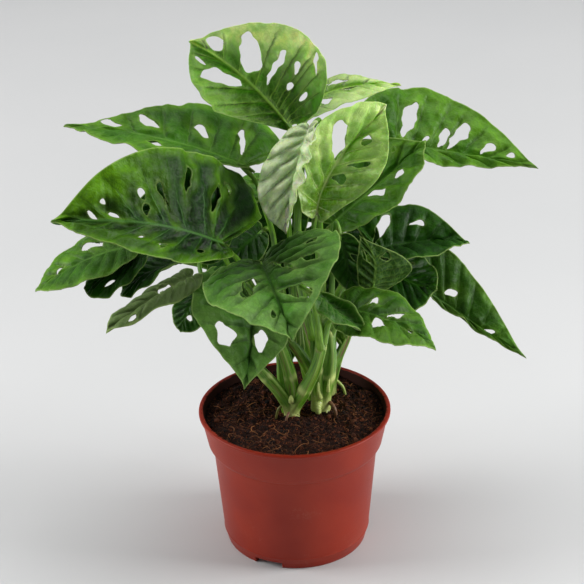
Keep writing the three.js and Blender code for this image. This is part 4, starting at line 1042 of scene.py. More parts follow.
# Roots, and the spare petioles and bud scales between the shoots, by cane: the points, the two
# radii, and how pale each is (brown below zero).
OFFSHOOTS = {
    "cane_front": [
        ([(-6, -6, 97), (-10, -8, 94), (-12, -9, 86)], 1.0, 0.6, -0.3),
        ([(-3, -8, 93), (-5, -12, 90), (-6, -14, 84)], 0.9, 0.6, -0.6),
        ([(-2, -6, 98), (-2, -10.5, 102), (-2, -10, 105)], 2.2, 1.3, 0.9),
        ([(-5, 1, 84), (-8, 4, 108), (-9, 7, 126), (-11, 10, 148)], 3.0, 1.6, 0.1),
        ([(1, 0, 84), (0, 3, 108), (-4, 5, 128), (-8, 6, 152)], 2.8, 1.5, 0.1),
    ],
    "cane_middle": [
        ([(22, 0, 94), (25, -4, 91), (26, -6, 84)], 1.4, 0.9, -0.8),
        ([(15, -2, 95), (14.5, -4.5, 92), (15, -5, 88)], 2.4, 1.8, 1.2),
        ([(16, -3, 99), (15, -4.5, 104), (15, -3, 110)], 1.6, 0.7, 1.2),
        ([(21, -4, 104), (21, -5, 108), (22, -4, 113)], 1.3, 0.6, 1.2),
        ([(13, 4, 84), (13, 6, 112), (12, 6, 134), (9, 4, 158)], 2.7, 1.5, 0.3),
        ([(20, 8, 84), (20, 9, 115), (21, 8, 140), (24, 8, 160)], 2.8, 1.6, 0.4),
        ([(12, -2, 140), (4, -10, 190), (4, -12, 226), (8, -11, 262)], 3.0, 2.0, 0.3),
    ],
    "cane_left": [
        ([(13, 14, 98), (7, 12, 94), (4, 11, 84)], 1.0, 0.7, 0.8),
        ([(12, 16, 84), (6, 15, 112), (-2, 17, 134), (-7, 20, 160)], 2.9, 1.5, 0.0),
        ([(14, 19, 84), (9, 21, 112), (8, 22, 134), (13, 24, 158)], 2.8, 1.5, 0.0),
    ],
    "cane_back": [
        ([(13, 24, 98), (8, 24, 93), (6, 25, 84)], 1.0, 0.7, -0.5),
        ([(12, 29, 84), (7, 32, 112), (3, 34, 136), (0, 36, 166)], 3.0, 1.5, 0.0),
        ([(14, 30, 84), (17, 33, 114), (15, 35, 140), (11, 37, 168)], 3.0, 1.5, 0.0),
    ],
    "cane_right": [
        ([(26, 24, 97), (31, 22, 92), (33, 21, 84)], 1.0, 0.7, 0.8),
        ([(24, 27, 84), (25, 29, 114), (25, 31, 140), (29, 34, 166)], 2.8, 1.5, 0.1),
    ],
}


def cane_piece(name, cane, seed):
    """A whole cutting: its shoots, the petioles that leave them one above the other, its roots."""
    parts = []
    for k, (arm, points) in enumerate(cane["arms"].items()):
        parts.append(cane_arm(cane, points, seed + 1.7 * k))
        line = route([(*cane["foot"], CANE_BEND), *points], CANE_PLACES)
        run = np.linalg.norm(np.diff(line, axis=0), axis=1).sum()
        mine = [s for s in BLADES.values() if s["cane"] == name and s.get("arm", "up") == arm]
        for i, spec in enumerate(mine):
            node = line[round((CANE_PLACES - 1) * (1 - NODE_SPACING * (i + 0.5) / run))]
            parts.append(petiole(node, spec))
    parts += [offshoot(*points) for points in OFFSHOOTS[name]]
    points, faces, grain, marks = joined(parts)
    return piece(
        name.replace("cane", "cutting"), points, faces, finishes["stem"], name, "stem",
        grain=grain, marks=marks,
    )


# ---- Pot ----------------------------------------------------------------------------------------
POT_CORNER = 0.45  # how far from a corner of the profile its rounding starts
POT_TURNS = 288  # steps round the pot
CORNER_SHARE = 0.45  # the most of a side that the rounding of one corner takes
LONG_SIDE = 6  # sides of the profile longer than this are divided
FLOOR_RINGS = 48


def rounded(profile, radius, steps=4):
    """A profile with each corner rounded: the corner is replaced by the curve between the points
    one radius before and after it, a quadratic bent to the corner."""
    p = np.array(profile, float)
    t = np.linspace(0, 1, steps)[:, None]
    made = [p[:1]]
    for before, corner, after in zip(p, p[1:], p[2:]):
        a, b = before - corner, after - corner
        a = corner + a * min(CORNER_SHARE, radius / np.linalg.norm(a))
        b = corner + b * min(CORNER_SHARE, radius / np.linalg.norm(b))
        made.append((1 - t) ** 2 * a + 2 * t * (1 - t) * corner + t * t * b)
    return np.concatenate([*made, p[-1:]])


def pot_piece():
    """The pot: its rounded profile turned round the axis, with the foot lifted at each notch and
    the drainage holes drawn out of its floor."""
    collar = RIM_RADIUS - BEAD_DEPTH
    outside = [
        (FOOT_INNER_RADIUS, FLOOR_HEIGHT), (FOOT_INNER_RADIUS, 0), (FOOT_RADIUS, 0),
        (FOOT_RADIUS + 0.9, NOTCH_HEIGHT), (BAND_RADIUS + 0.25, BAND_HEIGHT - 0.6),
        (BAND_RADIUS, BAND_HEIGHT), (BODY_TOP_RADIUS, BODY_TOP),
        (COLLAR_FOOT_RADIUS - 1.2, COLLAR_FOOT - 2.2), (COLLAR_FOOT_RADIUS, COLLAR_FOOT),
        (collar, POT_HEIGHT - BEAD_HEIGHT), (RIM_RADIUS, POT_HEIGHT - BEAD_HEIGHT + 0.4),
        (RIM_RADIUS, POT_HEIGHT - 0.5), (RIM_RADIUS - 0.6, POT_HEIGHT),
        (collar - WALL - 0.1, POT_HEIGHT), (collar - WALL - 0.5, POT_HEIGHT - 3),
        (COLLAR_FOOT_RADIUS - WALL, COLLAR_FOOT), (BODY_TOP_RADIUS - WALL, BODY_TOP + 1.5),
        (BAND_RADIUS - WALL, BAND_HEIGHT), (BAND_RADIUS - WALL - 1, FLOOR_HEIGHT + WALL),
    ]
    wall = rounded(outside, POT_CORNER)
    fine = np.linspace(0, 1, 5)[1:-1, None]
    tall = [
        np.vstack([a[None], a + (b - a) * fine]) if np.linalg.norm(b - a) > LONG_SIDE else a[None]
        for a, b in zip(wall, wall[1:])
    ]
    wall = np.vstack([*tall, wall[-1:]])
    turn = round_turn(POT_TURNS)
    half = NOTCH_WIDTH / 2 / FOOT_RADIUS
    bearings = [math.radians(NOTCH_BEARING - 90 + 360 * k / NOTCHES) for k in range(NOTCHES)]
    steps = [b + s * half * (1 + d) for b in bearings for s in (-1, 1) for d in (-0.008, 0.008)]
    turn = np.sort(np.concatenate([turn, np.mod(steps, 2 * np.pi)]))
    r, z = wall[:, 0, None], wall[:, 1, None]
    off = np.abs((turn[:, None] - bearings + np.pi) % (2 * np.pi) - np.pi).min(1)
    lifted = (off < half) & (z < NOTCH_HEIGHT) & (r < FOOT_RADIUS + 1.2)
    height = np.where(lifted, NOTCH_HEIGHT, z)
    points = turned(r, height, turn)
    faces = grid_faces(len(wall), len(turn), round_columns=True)[:, ::-1]
    base, base_faces = drained_floor(turn, wall[-1, 0])
    points = np.concatenate([points.reshape(-1, 3), base])
    faces = np.concatenate([faces, base_faces + r.size * turn.size])
    made = piece("nursery_pot", points, faces, finishes["plastic"], "pot", "pot_plastic")
    weld(made)
    return made


def drained_floor(turn, outer):
    """The pot's floor, as two discs of rings and the walls of its drainage holes. Points near a
    hole are drawn onto its edge, and the cells inside it are dropped."""
    rings = np.append(np.linspace(0, FOOT_INNER_RADIUS, FLOOR_RINGS), outer)[:, None]
    flat = turned(rings, 0, turn)[..., :2].reshape(-1, 2)
    ids = np.arange(len(flat)).reshape(len(rings), -1)
    ids[0] = 0
    faces = whole(ids.ravel()[grid_faces(len(rings), len(turn), round_columns=True)])
    for k in range(DRAINS):
        angle = 2 * np.pi * k / DRAINS
        centre = DRAIN_CIRCLE * np.array([math.cos(angle), math.sin(angle)])
        far = np.linalg.norm(flat - centre, axis=1) / DRAIN_RADIUS
        inside = far[faces].mean(1) < 1
        edge = np.intersect1d(faces[inside], faces[~inside])
        flat[edge] = centre + (flat[edge] - centre) / far[edge, None]
        faces = faces[~inside]
    low = faces[(faces < FLOOR_RINGS * len(turn)).all(1)] + len(flat)
    a, b = boundary(faces).T
    a, b = (e[np.linalg.norm(flat[a], axis=1) < FOOT_INNER_RADIUS - 1] for e in (a, b))
    walls = [np.stack([b, a, a + len(flat)], 1), np.stack([b, a + len(flat), b + len(flat)], 1)]
    points = np.vstack([
        np.column_stack([flat, np.full(len(flat), FLOOR_HEIGHT + WALL)]),
        np.column_stack([flat, np.full(len(flat), FLOOR_HEIGHT)]),
    ])
    kept, faces = np.unique(np.concatenate([faces, low[:, ::-1], *walls]), return_inverse=True)
    return points[kept], faces.reshape(-1, 3)


# ---- Soil ---------------------------------------------------------------------------------------
SOIL_RINGS = 112
SOIL_TURNS = 380
CRUMBS = 1300
CRUMB_LIFT = 0.25  # how far the middle of a crumb lies over the soil
FIBRES = 420
FIBRE_STEPS = 9
FIBRE_SIDES = 5


def soil_height(xy):
    """Height of the peat at a place: a low mound with swells, lumps and grains of noise, each
    octave finer and lower, and a hollow beside the stems."""
    share = (np.linalg.norm(xy, axis=-1) / innermost(SOIL_EDGE)) ** 2
    rise = SOIL_MOUND * (1 - share)
    swell = 0.8 * ripples(xy, 34, 3) + 0.5 * ripples(xy, 13, 4)
    lumps = 1.5 * (lattice_noise(xy, 5.2, 5) - 0.5) + 1.4 * np.abs(lattice_noise(xy, 2.7, 6) - 0.5)
    grains = 0.9 * (lattice_noise(xy, 1.3, 7) - 0.5) + 0.5 * (lattice_noise(xy, 0.6, 8) - 0.5)
    hollow = 3.5 * np.exp(-(np.linalg.norm(xy - (-11, 8), axis=-1) / 7) ** 2)
    banked = 1.6 * smoothstep(0.84, 1, share) * (0.6 + 0.5 * ripples(xy, 30, 9))
    return SOIL_EDGE + rise + swell + lumps + grains - hollow + banked


def innermost(z):
    """Inner radius of the collar at a height."""
    slope = (RIM_RADIUS - BEAD_DEPTH - COLLAR_FOOT_RADIUS) / (POT_HEIGHT - COLLAR_FOOT)
    return COLLAR_FOOT_RADIUS + slope * (z - COLLAR_FOOT) - WALL


def soil_piece():
    """The peat: a plug that fills the pot, with a top of rings drawn finer than its lumps."""
    turn = round_turn(SOIL_TURNS)
    edge = innermost(SOIL_EDGE) - 0.15
    rings = np.linspace(0, edge, SOIL_RINGS)[:, None]
    top = turned(rings, 0, turn)
    top[..., 2] = soil_height(top[..., :2])
    foot = FLOOR_HEIGHT + WALL + 0.3
    wall = np.array([
        (innermost(COLLAR_FOOT + 1) - 0.2, COLLAR_FOOT + 1),
        (BODY_TOP_RADIUS - WALL - 0.2, BODY_TOP),
        (BAND_RADIUS - WALL - 0.3, BAND_HEIGHT),
        (BAND_RADIUS - WALL - 1.2, foot),
        (0, foot),
    ])
    points = np.concatenate([top, turned(wall[:, :1], wall[:, 1:], turn)])
    ids = np.arange(len(points) * len(turn)).reshape(len(points), -1)
    ids[0], ids[-1] = ids[0, 0], ids[-1, 0]
    faces = whole(ids.ravel()[grid_faces(len(points), len(turn), round_columns=True)])
    kept, faces = np.unique(faces, return_inverse=True)
    points = points.reshape(-1, 3)[kept]
    return piece("peat", points, faces.reshape(-1, 3), finishes["peat"], "soil", "peat")


def scattered(count, rng, reach):
    """Places spread evenly over the soil's disc, with their heights."""
    radius = reach * np.sqrt(rng.random(count))
    turn = rng.uniform(0, 2 * np.pi, count)
    xy = np.stack([radius * np.cos(turn), radius * np.sin(turn)], axis=1)
    return np.column_stack([xy, soil_height(xy)])


def crumb_piece():
    """Loose crumbs on the peat: small twenty-sided lumps, each stretched and dented its own way."""
    rng = np.random.default_rng(12)
    g = (1 + 5**0.5) / 2
    corners = np.array([
        (-1, g, 0), (1, g, 0), (-1, -g, 0), (1, -g, 0), (0, -1, g), (0, 1, g),
        (0, -1, -g), (0, 1, -g), (g, 0, -1), (g, 0, 1), (-g, 0, -1), (-g, 0, 1),
    ]) / math.hypot(1, g)
    sides = np.array([
        (0, 11, 5), (0, 5, 1), (0, 1, 7), (0, 7, 10), (0, 10, 11), (1, 5, 9), (5, 11, 4),
        (11, 10, 2), (10, 7, 6), (7, 1, 8), (3, 9, 4), (3, 4, 2), (3, 2, 6), (3, 6, 8),
        (3, 8, 9), (4, 9, 5), (2, 4, 11), (6, 2, 10), (8, 6, 7), (9, 8, 1),
    ])
    where = scattered(CRUMBS, rng, innermost(SOIL_EDGE) - 1.5)
    size = np.exp(rng.normal(-0.45, 0.42, CRUMBS))[:, None, None]
    spun = np.linalg.qr(rng.normal(size=(CRUMBS, 3, 3)))[0]
    spun[:, 0] *= np.linalg.det(spun)[:, None]
    stretch = rng.uniform(0.6, 1.3, (CRUMBS, 1, 3))
    dented = corners * rng.uniform(0.7, 1.25, (CRUMBS, len(corners), 1)) * stretch
    points = where[:, None] + (0, 0, CRUMB_LIFT) + size * dented @ spun
    faces = sides + len(corners) * np.arange(CRUMBS)[:, None, None]
    tone = np.repeat(rng.random((CRUMBS, 3)), len(corners), axis=0)
    points, faces = points.reshape(-1, 3), faces.reshape(-1, 3)
    return piece("peat_crumbs", points, faces, finishes["crumb"], "soil", "peat", tone=tone)


def fibre_piece():
    """Peat fibres: thin tubes that lie on the soil, bowed sideways and arched a little."""
    rng = np.random.default_rng(21)
    where = scattered(FIBRES, rng, innermost(SOIL_EDGE) - 5)
    heading = rng.uniform(0, 2 * np.pi, FIBRES)
    length = np.exp(rng.normal(1.6, 0.5, FIBRES))
    ahead = np.stack([np.cos(heading), np.sin(heading), rng.normal(0, 0.12, FIBRES)], axis=1)
    aside = np.stack([-np.sin(heading), np.cos(heading), np.zeros(FIBRES)], axis=1)
    t = np.linspace(-0.5, 0.5, FIBRE_STEPS)[:, None]
    bow = rng.normal(0, 0.35, (FIBRES, 1, 1)) * length[:, None, None]
    arch = rng.uniform(0, 0.22, (FIBRES, 1, 1)) * length[:, None, None]
    path = where[:, None] + t * length[:, None, None] * ahead[:, None]
    path = path + (t**2 - 0.1) * bow * 4 * aside[:, None]
    path = path + (0.15 + arch * (1 - 4 * t**2)) * (0, 0, 1)
    far = np.linalg.norm(path[..., :2], axis=-1, keepdims=True)
    path[..., :2] *= np.minimum(1, (innermost(SOIL_EDGE) - 0.8) / far)
    path[..., 2] = np.maximum(path[..., 2], soil_height(path[..., :2]) + 0.05)
    thick = np.exp(rng.normal(-1.85, 0.35, FIBRES))[:, None, None]
    radius = thick * (1 - 1.4 * t**2) * np.ones((1, 1, FIBRE_SIDES))
    angles = round_turn(FIBRE_SIDES) - np.pi
    points, faces, _ = sweep(path, np.array([0, 0, 1.0]), angles, radius)
    tone = np.repeat(rng.random((FIBRES, 3)), len(points) // FIBRES, axis=0)
    return piece("peat_fibres", points, faces, finishes["fibre"], "soil", "peat", tone=tone)


# ---- Finishes -----------------------------------------------------------------------------------
def rgb(red, green, blue):
    """A colour by its display values of 0 to 255."""
    return tuple((v / 255) ** 2.2 for v in (red, green, blue)) + (1.0,)


class Graph:
    """Adds nodes to a tree. Every value may be a socket or a plain number or colour."""

    def __init__(self, tree):
        self.tree = tree

    def add(self, kind, values=(), out=0, **settings):
        """A node with its settings and its inputs' values, by name or number; gives one output."""
        made = self.tree.nodes.new(kind)
        for key, value in settings.items():
            setattr(made, key, value)
        for key, value in dict(values).items():
            if isinstance(value, bpy.types.NodeSocket):
                self.tree.links.new(value, made.inputs[key])
            else:
                made.inputs[key].default_value = value
        return made.outputs[out]

    def math(self, operation, a, b=0.0, clamp=False):
        """One sum on two values."""
        return self.add("ShaderNodeMath", {0: a, 1: b}, operation=operation, use_clamp=clamp)

    def mix(self, share, a, b):
        """A colour between a and b, by the share of b."""
        return self.add("ShaderNodeMix", {0: share, 6: a, 7: b}, out=2, data_type="RGBA")

    def fade(self, value, start, end, low=0.0, high=1.0):
        """low at start and high at end, smoothly between; start may be the larger one."""
        values = {0: value, 1: start, 2: end, 3: low, 4: high}
        return self.add("ShaderNodeMapRange", values, interpolation_type="SMOOTHSTEP")

    def noise(self, place, scale, detail=3.0, roughness=0.5, distortion=0.0):
        """Fractal noise of about 0 to 1."""
        values = {
            "Vector": place, "Scale": scale, "Detail": detail, "Roughness": roughness,
            "Distortion": distortion,
        }
        return self.add("ShaderNodeTexNoise", values)

    def split(self, name):
        """The three numbers of an attribute."""
        at = self.add("ShaderNodeAttribute", out="Vector", attribute_name=name)
        made = self.tree.nodes.new("ShaderNodeSeparateXYZ")
        self.tree.links.new(at, made.inputs[0])
        return tuple(made.outputs)

    def scaled(self, vector, by):
        """A vector times another, number by number."""
        return self.add("ShaderNodeVectorMath", {0: vector, 1: by}, operation="MULTIPLY")

    def tinted(self, colour, value):
        """A colour made lighter or darker by a factor."""
        return self.add("ShaderNodeHueSaturation", {"Value": value, "Color": colour})


def effect(name, inputs, outputs):
    """An empty shader node group with its sockets, and the graph and nodes at its two ends."""
    group = bpy.data.node_groups.new(name, "ShaderNodeTree")
    for key, kind in inputs.items():
        group.interface.new_socket(key, in_out="INPUT", socket_type="NodeSocket" + kind)
    for key, kind in outputs.items():
        group.interface.new_socket(key, in_out="OUTPUT", socket_type="NodeSocket" + kind)
    start, end = (group.nodes.new(kind) for kind in ("NodeGroupInput", "NodeGroupOutput"))
    return Graph(group), start.outputs, end


def close(graph, end, **results):
    """Links a group's results to its outputs, and gives the finished group."""
    for key, value in results.items():
        graph.tree.links.new(value, end.inputs[key.replace("_", " ").capitalize()])
    return graph.tree


def leaf_pattern():
    """Colour, roughness and relief of a blade: pale lines on the midrib and side veins by their
    distance in millimetres, a net of fine veins, a tint that glows in from the margin, soft
    mottling, a matt paler underside, and painted light and shade: painted shade by the petiole, in
    the folds along the side veins and in the hollows, a painted highlight on the folds' crests, and
    a painted backlight glow towards the margins."""
    colours = ("Top", "Under", "Vein", "Rim")
    numbers = ("Rim reach", "Rim weight", "Vein weight", "Mottle", "Roughness", "Heart", "Fold")
    g, given, end = effect(
        "leaf_pattern",
        {**dict.fromkeys(colours, "Color"), **dict.fromkeys(numbers, "Float")},
        {"Color": "Color", "Roughness": "Float", "Height": "Float"},
    )
    # Painted light and shade: the distance from the base, the painted backlight glow, and the
    # painted shade in the hollows.
    seat, backlight_glow, shade = g.split("tints")
    bay, spread, out = g.split("vein_frame")
    rim, below, rib = g.split("blade_edge")
    uv = g.add("ShaderNodeUVMap", uv_map="flat")
    flat = g.scaled(uv, (1000, 1000, 1000))
    place = g.add("ShaderNodeTexCoord", out="Object")
    wander = g.math("SUBTRACT", g.noise(flat, 0.16, 2.0), 0.5)
    bent = g.math("ADD", bay, g.math("MULTIPLY", wander, 0.22))
    off = g.math("ABSOLUTE", g.math("SUBTRACT", g.math("FRACT", g.math("ADD", bent, 0.5)), 0.5))
    off = g.math("MULTIPLY", off, spread)
    width = g.fade(out, 0.0, 1.0, 0.65, 0.2)
    branch = g.fade(off, width, g.math("MULTIPLY", width, 0.25))
    branch = g.math("MULTIPLY", branch, g.fade(rib, 0.8, 2.0))
    branch = g.math("MULTIPLY", branch, g.fade(out, 1.0, 0.3, 0.15, 0.75))
    middle = g.fade(rib, 1.25, 0.45)
    cells = g.add(
        "ShaderNodeTexVoronoi", {"Vector": flat, "Scale": 0.34, "Randomness": 0.9},
        feature="DISTANCE_TO_EDGE",
    )
    net = g.fade(cells, 0.16, 0.02)
    lines = g.math("MULTIPLY", g.math("MAXIMUM", branch, middle), given["Vein weight"])
    glow = g.fade(rim, given["Rim reach"], 0.0)
    patches = g.fade(g.noise(flat, 0.07, 3.0), 0.3, 0.62, 0.25, 1.0)
    glow = g.math("MULTIPLY", g.math("MULTIPLY", glow, given["Rim weight"]), patches)
    clouds = g.math("MULTIPLY", g.noise(place, 55.0, 4.0, 0.55), 0.6)
    clouds = g.math("ADD", clouds, g.math("MULTIPLY", g.noise(place, 150.0, 3.0, 0.6), 0.6))
    mottle = g.math("MULTIPLY", given["Mottle"], 1.6)
    tone = g.math("MULTIPLY", g.math("SUBTRACT", clouds, 0.6), mottle)
    grain = g.math("SUBTRACT", g.noise(flat, 0.9, 3.0, 0.6), 0.5)
    tone = g.math("ADD", g.math("ADD", tone, 1.0), g.math("MULTIPLY", grain, 0.22))
    # Painted shade: darker near the petiole, by the distance from the base.
    heart = g.math("SUBTRACT", 1.0, given["Heart"])
    tone = g.math("MULTIPLY", tone, g.fade(seat, 0.0, 60.0, heart))
    # Painted shade in the fold just before each side vein and in the hollows, and a painted
    # highlight on the crest a few millimetres before the fold.
    ahead = g.math("MULTIPLY", g.math("SUBTRACT", 1.0, g.math("FRACT", bent)), spread)
    fold = g.math("MULTIPLY", g.fade(ahead, 2.6, 0.4), g.fade(out, 0.03, 0.2))
    crest_highlight = g.math("MULTIPLY", g.fade(ahead, 1.6, 3.6), g.fade(ahead, 8.0, 4.2))
    fold = g.math("SUBTRACT", fold, g.math("MULTIPLY", crest_highlight, 0.35))
    fold = g.math("MULTIPLY", fold, g.math("MULTIPLY", given["Fold"], g.fade(out, 1.0, 0.7)))
    fold = g.math("MAXIMUM", fold, g.math("MULTIPLY", shade, 0.42))
    tone = g.math("MULTIPLY", tone, g.math("SUBTRACT", 1.0, fold))
    # Painted backlight glow, in patches, towards the margins.
    pale = g.math("MULTIPLY", backlight_glow, g.fade(g.noise(flat, 0.1, 3.0), 0.3, 0.6, 0.6, 1.0))
    glow = g.math("MAXIMUM", glow, pale)
    body = g.tinted(g.mix(glow, given["Top"], given["Rim"]), tone)
    body = g.mix(g.math("MULTIPLY", net, 0.16), body, given["Vein"])
    body = g.mix(lines, body, given["Vein"])
    beneath = g.tinted(g.mix(pale, given["Under"], given["Rim"]), tone)
    beneath = g.mix(g.math("MULTIPLY", net, 0.22), beneath, given["Vein"])
    beneath = g.mix(g.math("MULTIPLY", lines, 1.1, clamp=True), beneath, given["Vein"])
    colour = g.mix(below, body, beneath)
    edge = g.math("MULTIPLY", g.fade(rim, 0.7, 0.2, 0.0, 0.42), g.fade(out, 0.8, 0.96, 0.45, 1.0))
    colour = g.mix(edge, colour, rgb(162, 186, 106))
    rough = g.math("ADD", given["Roughness"], g.math("MULTIPLY", grain, 0.25))
    rough = g.math("ADD", rough, g.math("MULTIPLY", below, 0.12))
    height = g.math("ADD", g.math("MULTIPLY", grain, 0.25), g.math("MULTIPLY", net, -0.07))
    height = g.math("SUBTRACT", height, g.math("MULTIPLY", branch, 0.12))
    return close(g, end, color=colour, roughness=rough, height=height)


def grimed():
    """Scattered specks and smears: a mask from two noises, for dust and scuffs."""
    g, given, end = effect("grime", {"Scale": "Float", "Amount": "Float"}, {"Mask": "Float"})
    place = g.add("ShaderNodeTexCoord", out="Object")
    wide = g.noise(place, given["Scale"], 4.0, 0.6)
    fine = g.noise(place, g.math("MULTIPLY", given["Scale"], 14.0), 3.0, 0.7)
    mask = g.math("ADD", g.math("MULTIPLY", wide, 0.7), g.math("MULTIPLY", fine, 0.3))
    start = g.math("SUBTRACT", 0.72, g.math("MULTIPLY", given["Amount"], 0.3))
    mask = g.fade(mask, start, g.math("ADD", start, 0.12))
    return close(g, end, mask=mask)


def material(name, **constants):
    """A material with one Principled BSDF, its constant values set on its own sockets."""
    made = bpy.data.materials.new(name)
    made.use_nodes = True
    shader = made.node_tree.nodes["Principled BSDF"]
    for key, value in constants.items():
        shader.inputs[key.replace("_", " ")].default_value = value
    return made, Graph(made.node_tree), shader


def dressed(g, shader, colour=None, roughness=None, height=None, depth=MM):
    """Links colour, roughness and a relief in units of depth to a shader."""
    if colour is not None:
        g.tree.links.new(colour, shader.inputs["Base Color"])
    if roughness is not None:
        g.tree.links.new(roughness, shader.inputs["Roughness"])
    if height is not None:
        bump = g.add("ShaderNodeBump", {"Height": height, "Distance": depth, "Strength": 1.0})
        g.tree.links.new(bump, shader.inputs["Normal"])


def used(g, group, **values):
    """An effect placed in a material, with its values."""
    made = g.tree.nodes.new("ShaderNodeGroup")
    made.node_tree = group
    for key, value in values.items():
        key = key.replace("_", " ").capitalize()
        if isinstance(value, bpy.types.NodeSocket):
            g.tree.links.new(value, made.inputs[key])
        else:
            made.inputs[key].default_value = value
    return made.outputs


# The leaves' colours, in 0 to 255: of the upper side, the underside, the veins and the rim; then
# how far in mm the rim's tint reaches and its weight, the weight of the vein lines, the mottling,
# the roughness, how dark the painted shade by the petiole is, and how strong the painted shade in
# the folds along its veins and the painted highlight on their crests are.
LEAVES = {
    "satin": dict(
        top=(76, 124, 46), under=(64, 98, 42), vein=(34, 66, 22), rim=(128, 170, 84),
        rim_reach=9, rim_weight=0.6, vein_weight=0.5, mottle=1,
        roughness=0.38, heart=0.55, fold=0.35,
    ),
    "grass": dict(
        top=(60, 106, 26), under=(74, 112, 34), vein=(100, 144, 60), rim=(112, 160, 44),
        rim_reach=7, rim_weight=0.6, vein_weight=0.5, mottle=1.1,
        roughness=0.34, heart=0.3, fold=0.35,
    ),
    "moss": dict(
        top=(54, 94, 26), under=(64, 98, 32), vein=(84, 126, 50), rim=(104, 148, 44),
        rim_reach=6, rim_weight=0.6, vein_weight=0.45, mottle=1.1,
        roughness=0.38, heart=0.5, fold=0.35,
    ),
    # The dark green of older leaves, darkened further as painted shade for the leaves that sit in
    # the clump's shade.
    "deep": dict(
        top=(30, 68, 10), under=(46, 78, 22), vein=(56, 96, 30), rim=(62, 112, 20),
        rim_reach=6, rim_weight=0.5, vein_weight=0.45, mottle=1.1,
        roughness=0.36, heart=0.2, fold=0.4,
    ),
    "olive": dict(
        top=(40, 72, 12), under=(38, 70, 12), vein=(100, 134, 52), rim=(70, 110, 28),
        rim_reach=3, rim_weight=0.4, vein_weight=0.45, mottle=0.6,
        roughness=0.42, heart=0, fold=0.4,
    ),
    "curled": dict(
        top=(46, 90, 20), under=(104, 130, 76), vein=(126, 150, 92), rim=(96, 150, 46),
        rim_reach=3, rim_weight=0.5, vein_weight=0.4, mottle=0.5, roughness=0.4, heart=0, fold=0.2,
    ),
    "rolled": dict(
        top=(84, 104, 58), under=(84, 102, 58), vein=(120, 138, 90), rim=(104, 130, 72),
        rim_reach=4, rim_weight=0.4, vein_weight=0.6, mottle=0.7, roughness=0.46, heart=0, fold=0.3,
    ),
    "quilted": dict(
        top=(26, 56, 16), under=(52, 84, 30), vein=(66, 108, 46), rim=(104, 158, 20),
        rim_reach=8, rim_weight=0.7, vein_weight=0.8, mottle=0.8,
        roughness=0.42, heart=0.3, fold=0.35,
    ),
    # lime, fresh and pale are the light greens of young leaves, made lighter as painted backlight;
    # their near-white rim colours are also what the painted backlight glow (bloom) tints towards.
    "lime": dict(
        top=(110, 160, 30), under=(92, 142, 12), vein=(156, 200, 76), rim=(236, 250, 176),
        rim_reach=4, rim_weight=0.2, vein_weight=0.7, mottle=0.7,
        roughness=0.46, heart=0.5, fold=0.6,
    ),
    "fresh": dict(
        top=(116, 168, 34), under=(108, 158, 40), vein=(190, 216, 126), rim=(206, 230, 140),
        rim_reach=5, rim_weight=0.6, vein_weight=0.8, mottle=0.7,
        roughness=0.24, heart=0.3, fold=0.35,
    ),
    "pale": dict(
        top=(182, 206, 148), under=(164, 194, 120), vein=(226, 238, 200), rim=(230, 240, 204),
        rim_reach=6, rim_weight=0.6, vein_weight=0.7, mottle=0.7, roughness=0.28, heart=0, fold=0.5,
    ),
}
YOUNG = ("lime", "fresh", "pale")
LEAF_GLOW = (0.6, 1.0, 0.25)  # how far red, green and blue light scatters, against the scale
STEM_GLOW = (0.6, 1.0, 0.3)


def leaf_finish(name, pattern, values):
    """A leaf's skin: the pattern's colour and relief under a waxy shine, with light scattered
    through the thin blade."""
    made, g, shader = material(
        "leaf_" + name, Subsurface_Weight=0.8 if name in YOUNG else 0.15, Subsurface_Scale=0.0015,
        Specular_IOR_Level=0.5 if name in YOUNG else 0.14,
    )
    shader.inputs["Subsurface Radius"].default_value = LEAF_GLOW
    out = used(g, pattern, **{k: rgb(*v) if isinstance(v, tuple) else v for k, v in values.items()})
    dressed(g, shader, out["Color"], out["Roughness"], out["Height"])
    return made


def stem_finish():
    """Canes and petioles: green with streaks along the grain, pale where a shoot has swelled or
    lies in the soil, paler edges on the sheaths, brown scars and specks, and a darker, browner
    channel as painted shade."""
    made, g, shader = material("stem_skin", Subsurface_Weight=0.1, Subsurface_Scale=0.002)
    shader.inputs["Subsurface Radius"].default_value = STEM_GLOW
    edge, scar, pale = g.split("marks")
    grain = g.add("ShaderNodeAttribute", out="Vector", attribute_name="grain")
    streaks = g.noise(g.scaled(grain, (1.1, 1.1, 0.07)), 1.0, 4.0, 0.6)
    blots = g.noise(g.scaled(grain, (0.3, 0.3, 0.12)), 1.0, 2.0)
    body = g.mix(g.fade(streaks, 0.3, 0.7), rgb(64, 112, 20), rgb(122, 172, 50))
    light = g.fade(g.math("MULTIPLY", pale, g.math("ADD", blots, 0.5)), 0.25, 1.0, 0.0, 0.85)
    body = g.mix(light, body, rgb(214, 228, 136))
    body = g.mix(g.math("MULTIPLY", edge, 0.5), body, rgb(196, 214, 124))
    specks = g.fade(g.noise(g.scaled(grain, (1.0, 1.0, 0.6)), 1.0, 3.0, 0.6), 0.66, 0.74)
    white = g.fade(g.noise(g.scaled(grain, (0.8, 0.8, 0.5)), 1.0, 2.0, 0.5), 0.68, 0.72)
    body = g.mix(g.math("MULTIPLY", white, light), body, rgb(226, 230, 200))
    brown = g.math("MAXIMUM", g.math("MULTIPLY", specks, 0.25), g.math("MULTIPLY", scar, 0.5))
    # Brown also where pale is below zero: on the roots, and in the channels as painted shade.
    brown = g.math("MAXIMUM", brown, g.fade(pale, 0.0, -0.5))
    body = g.mix(brown, body, rgb(122, 88, 62))
    rough = g.fade(streaks, 0.2, 0.8, 0.34, 0.5)
    dressed(g, shader, body, rough, g.math("MULTIPLY", streaks, 0.35))
    return made


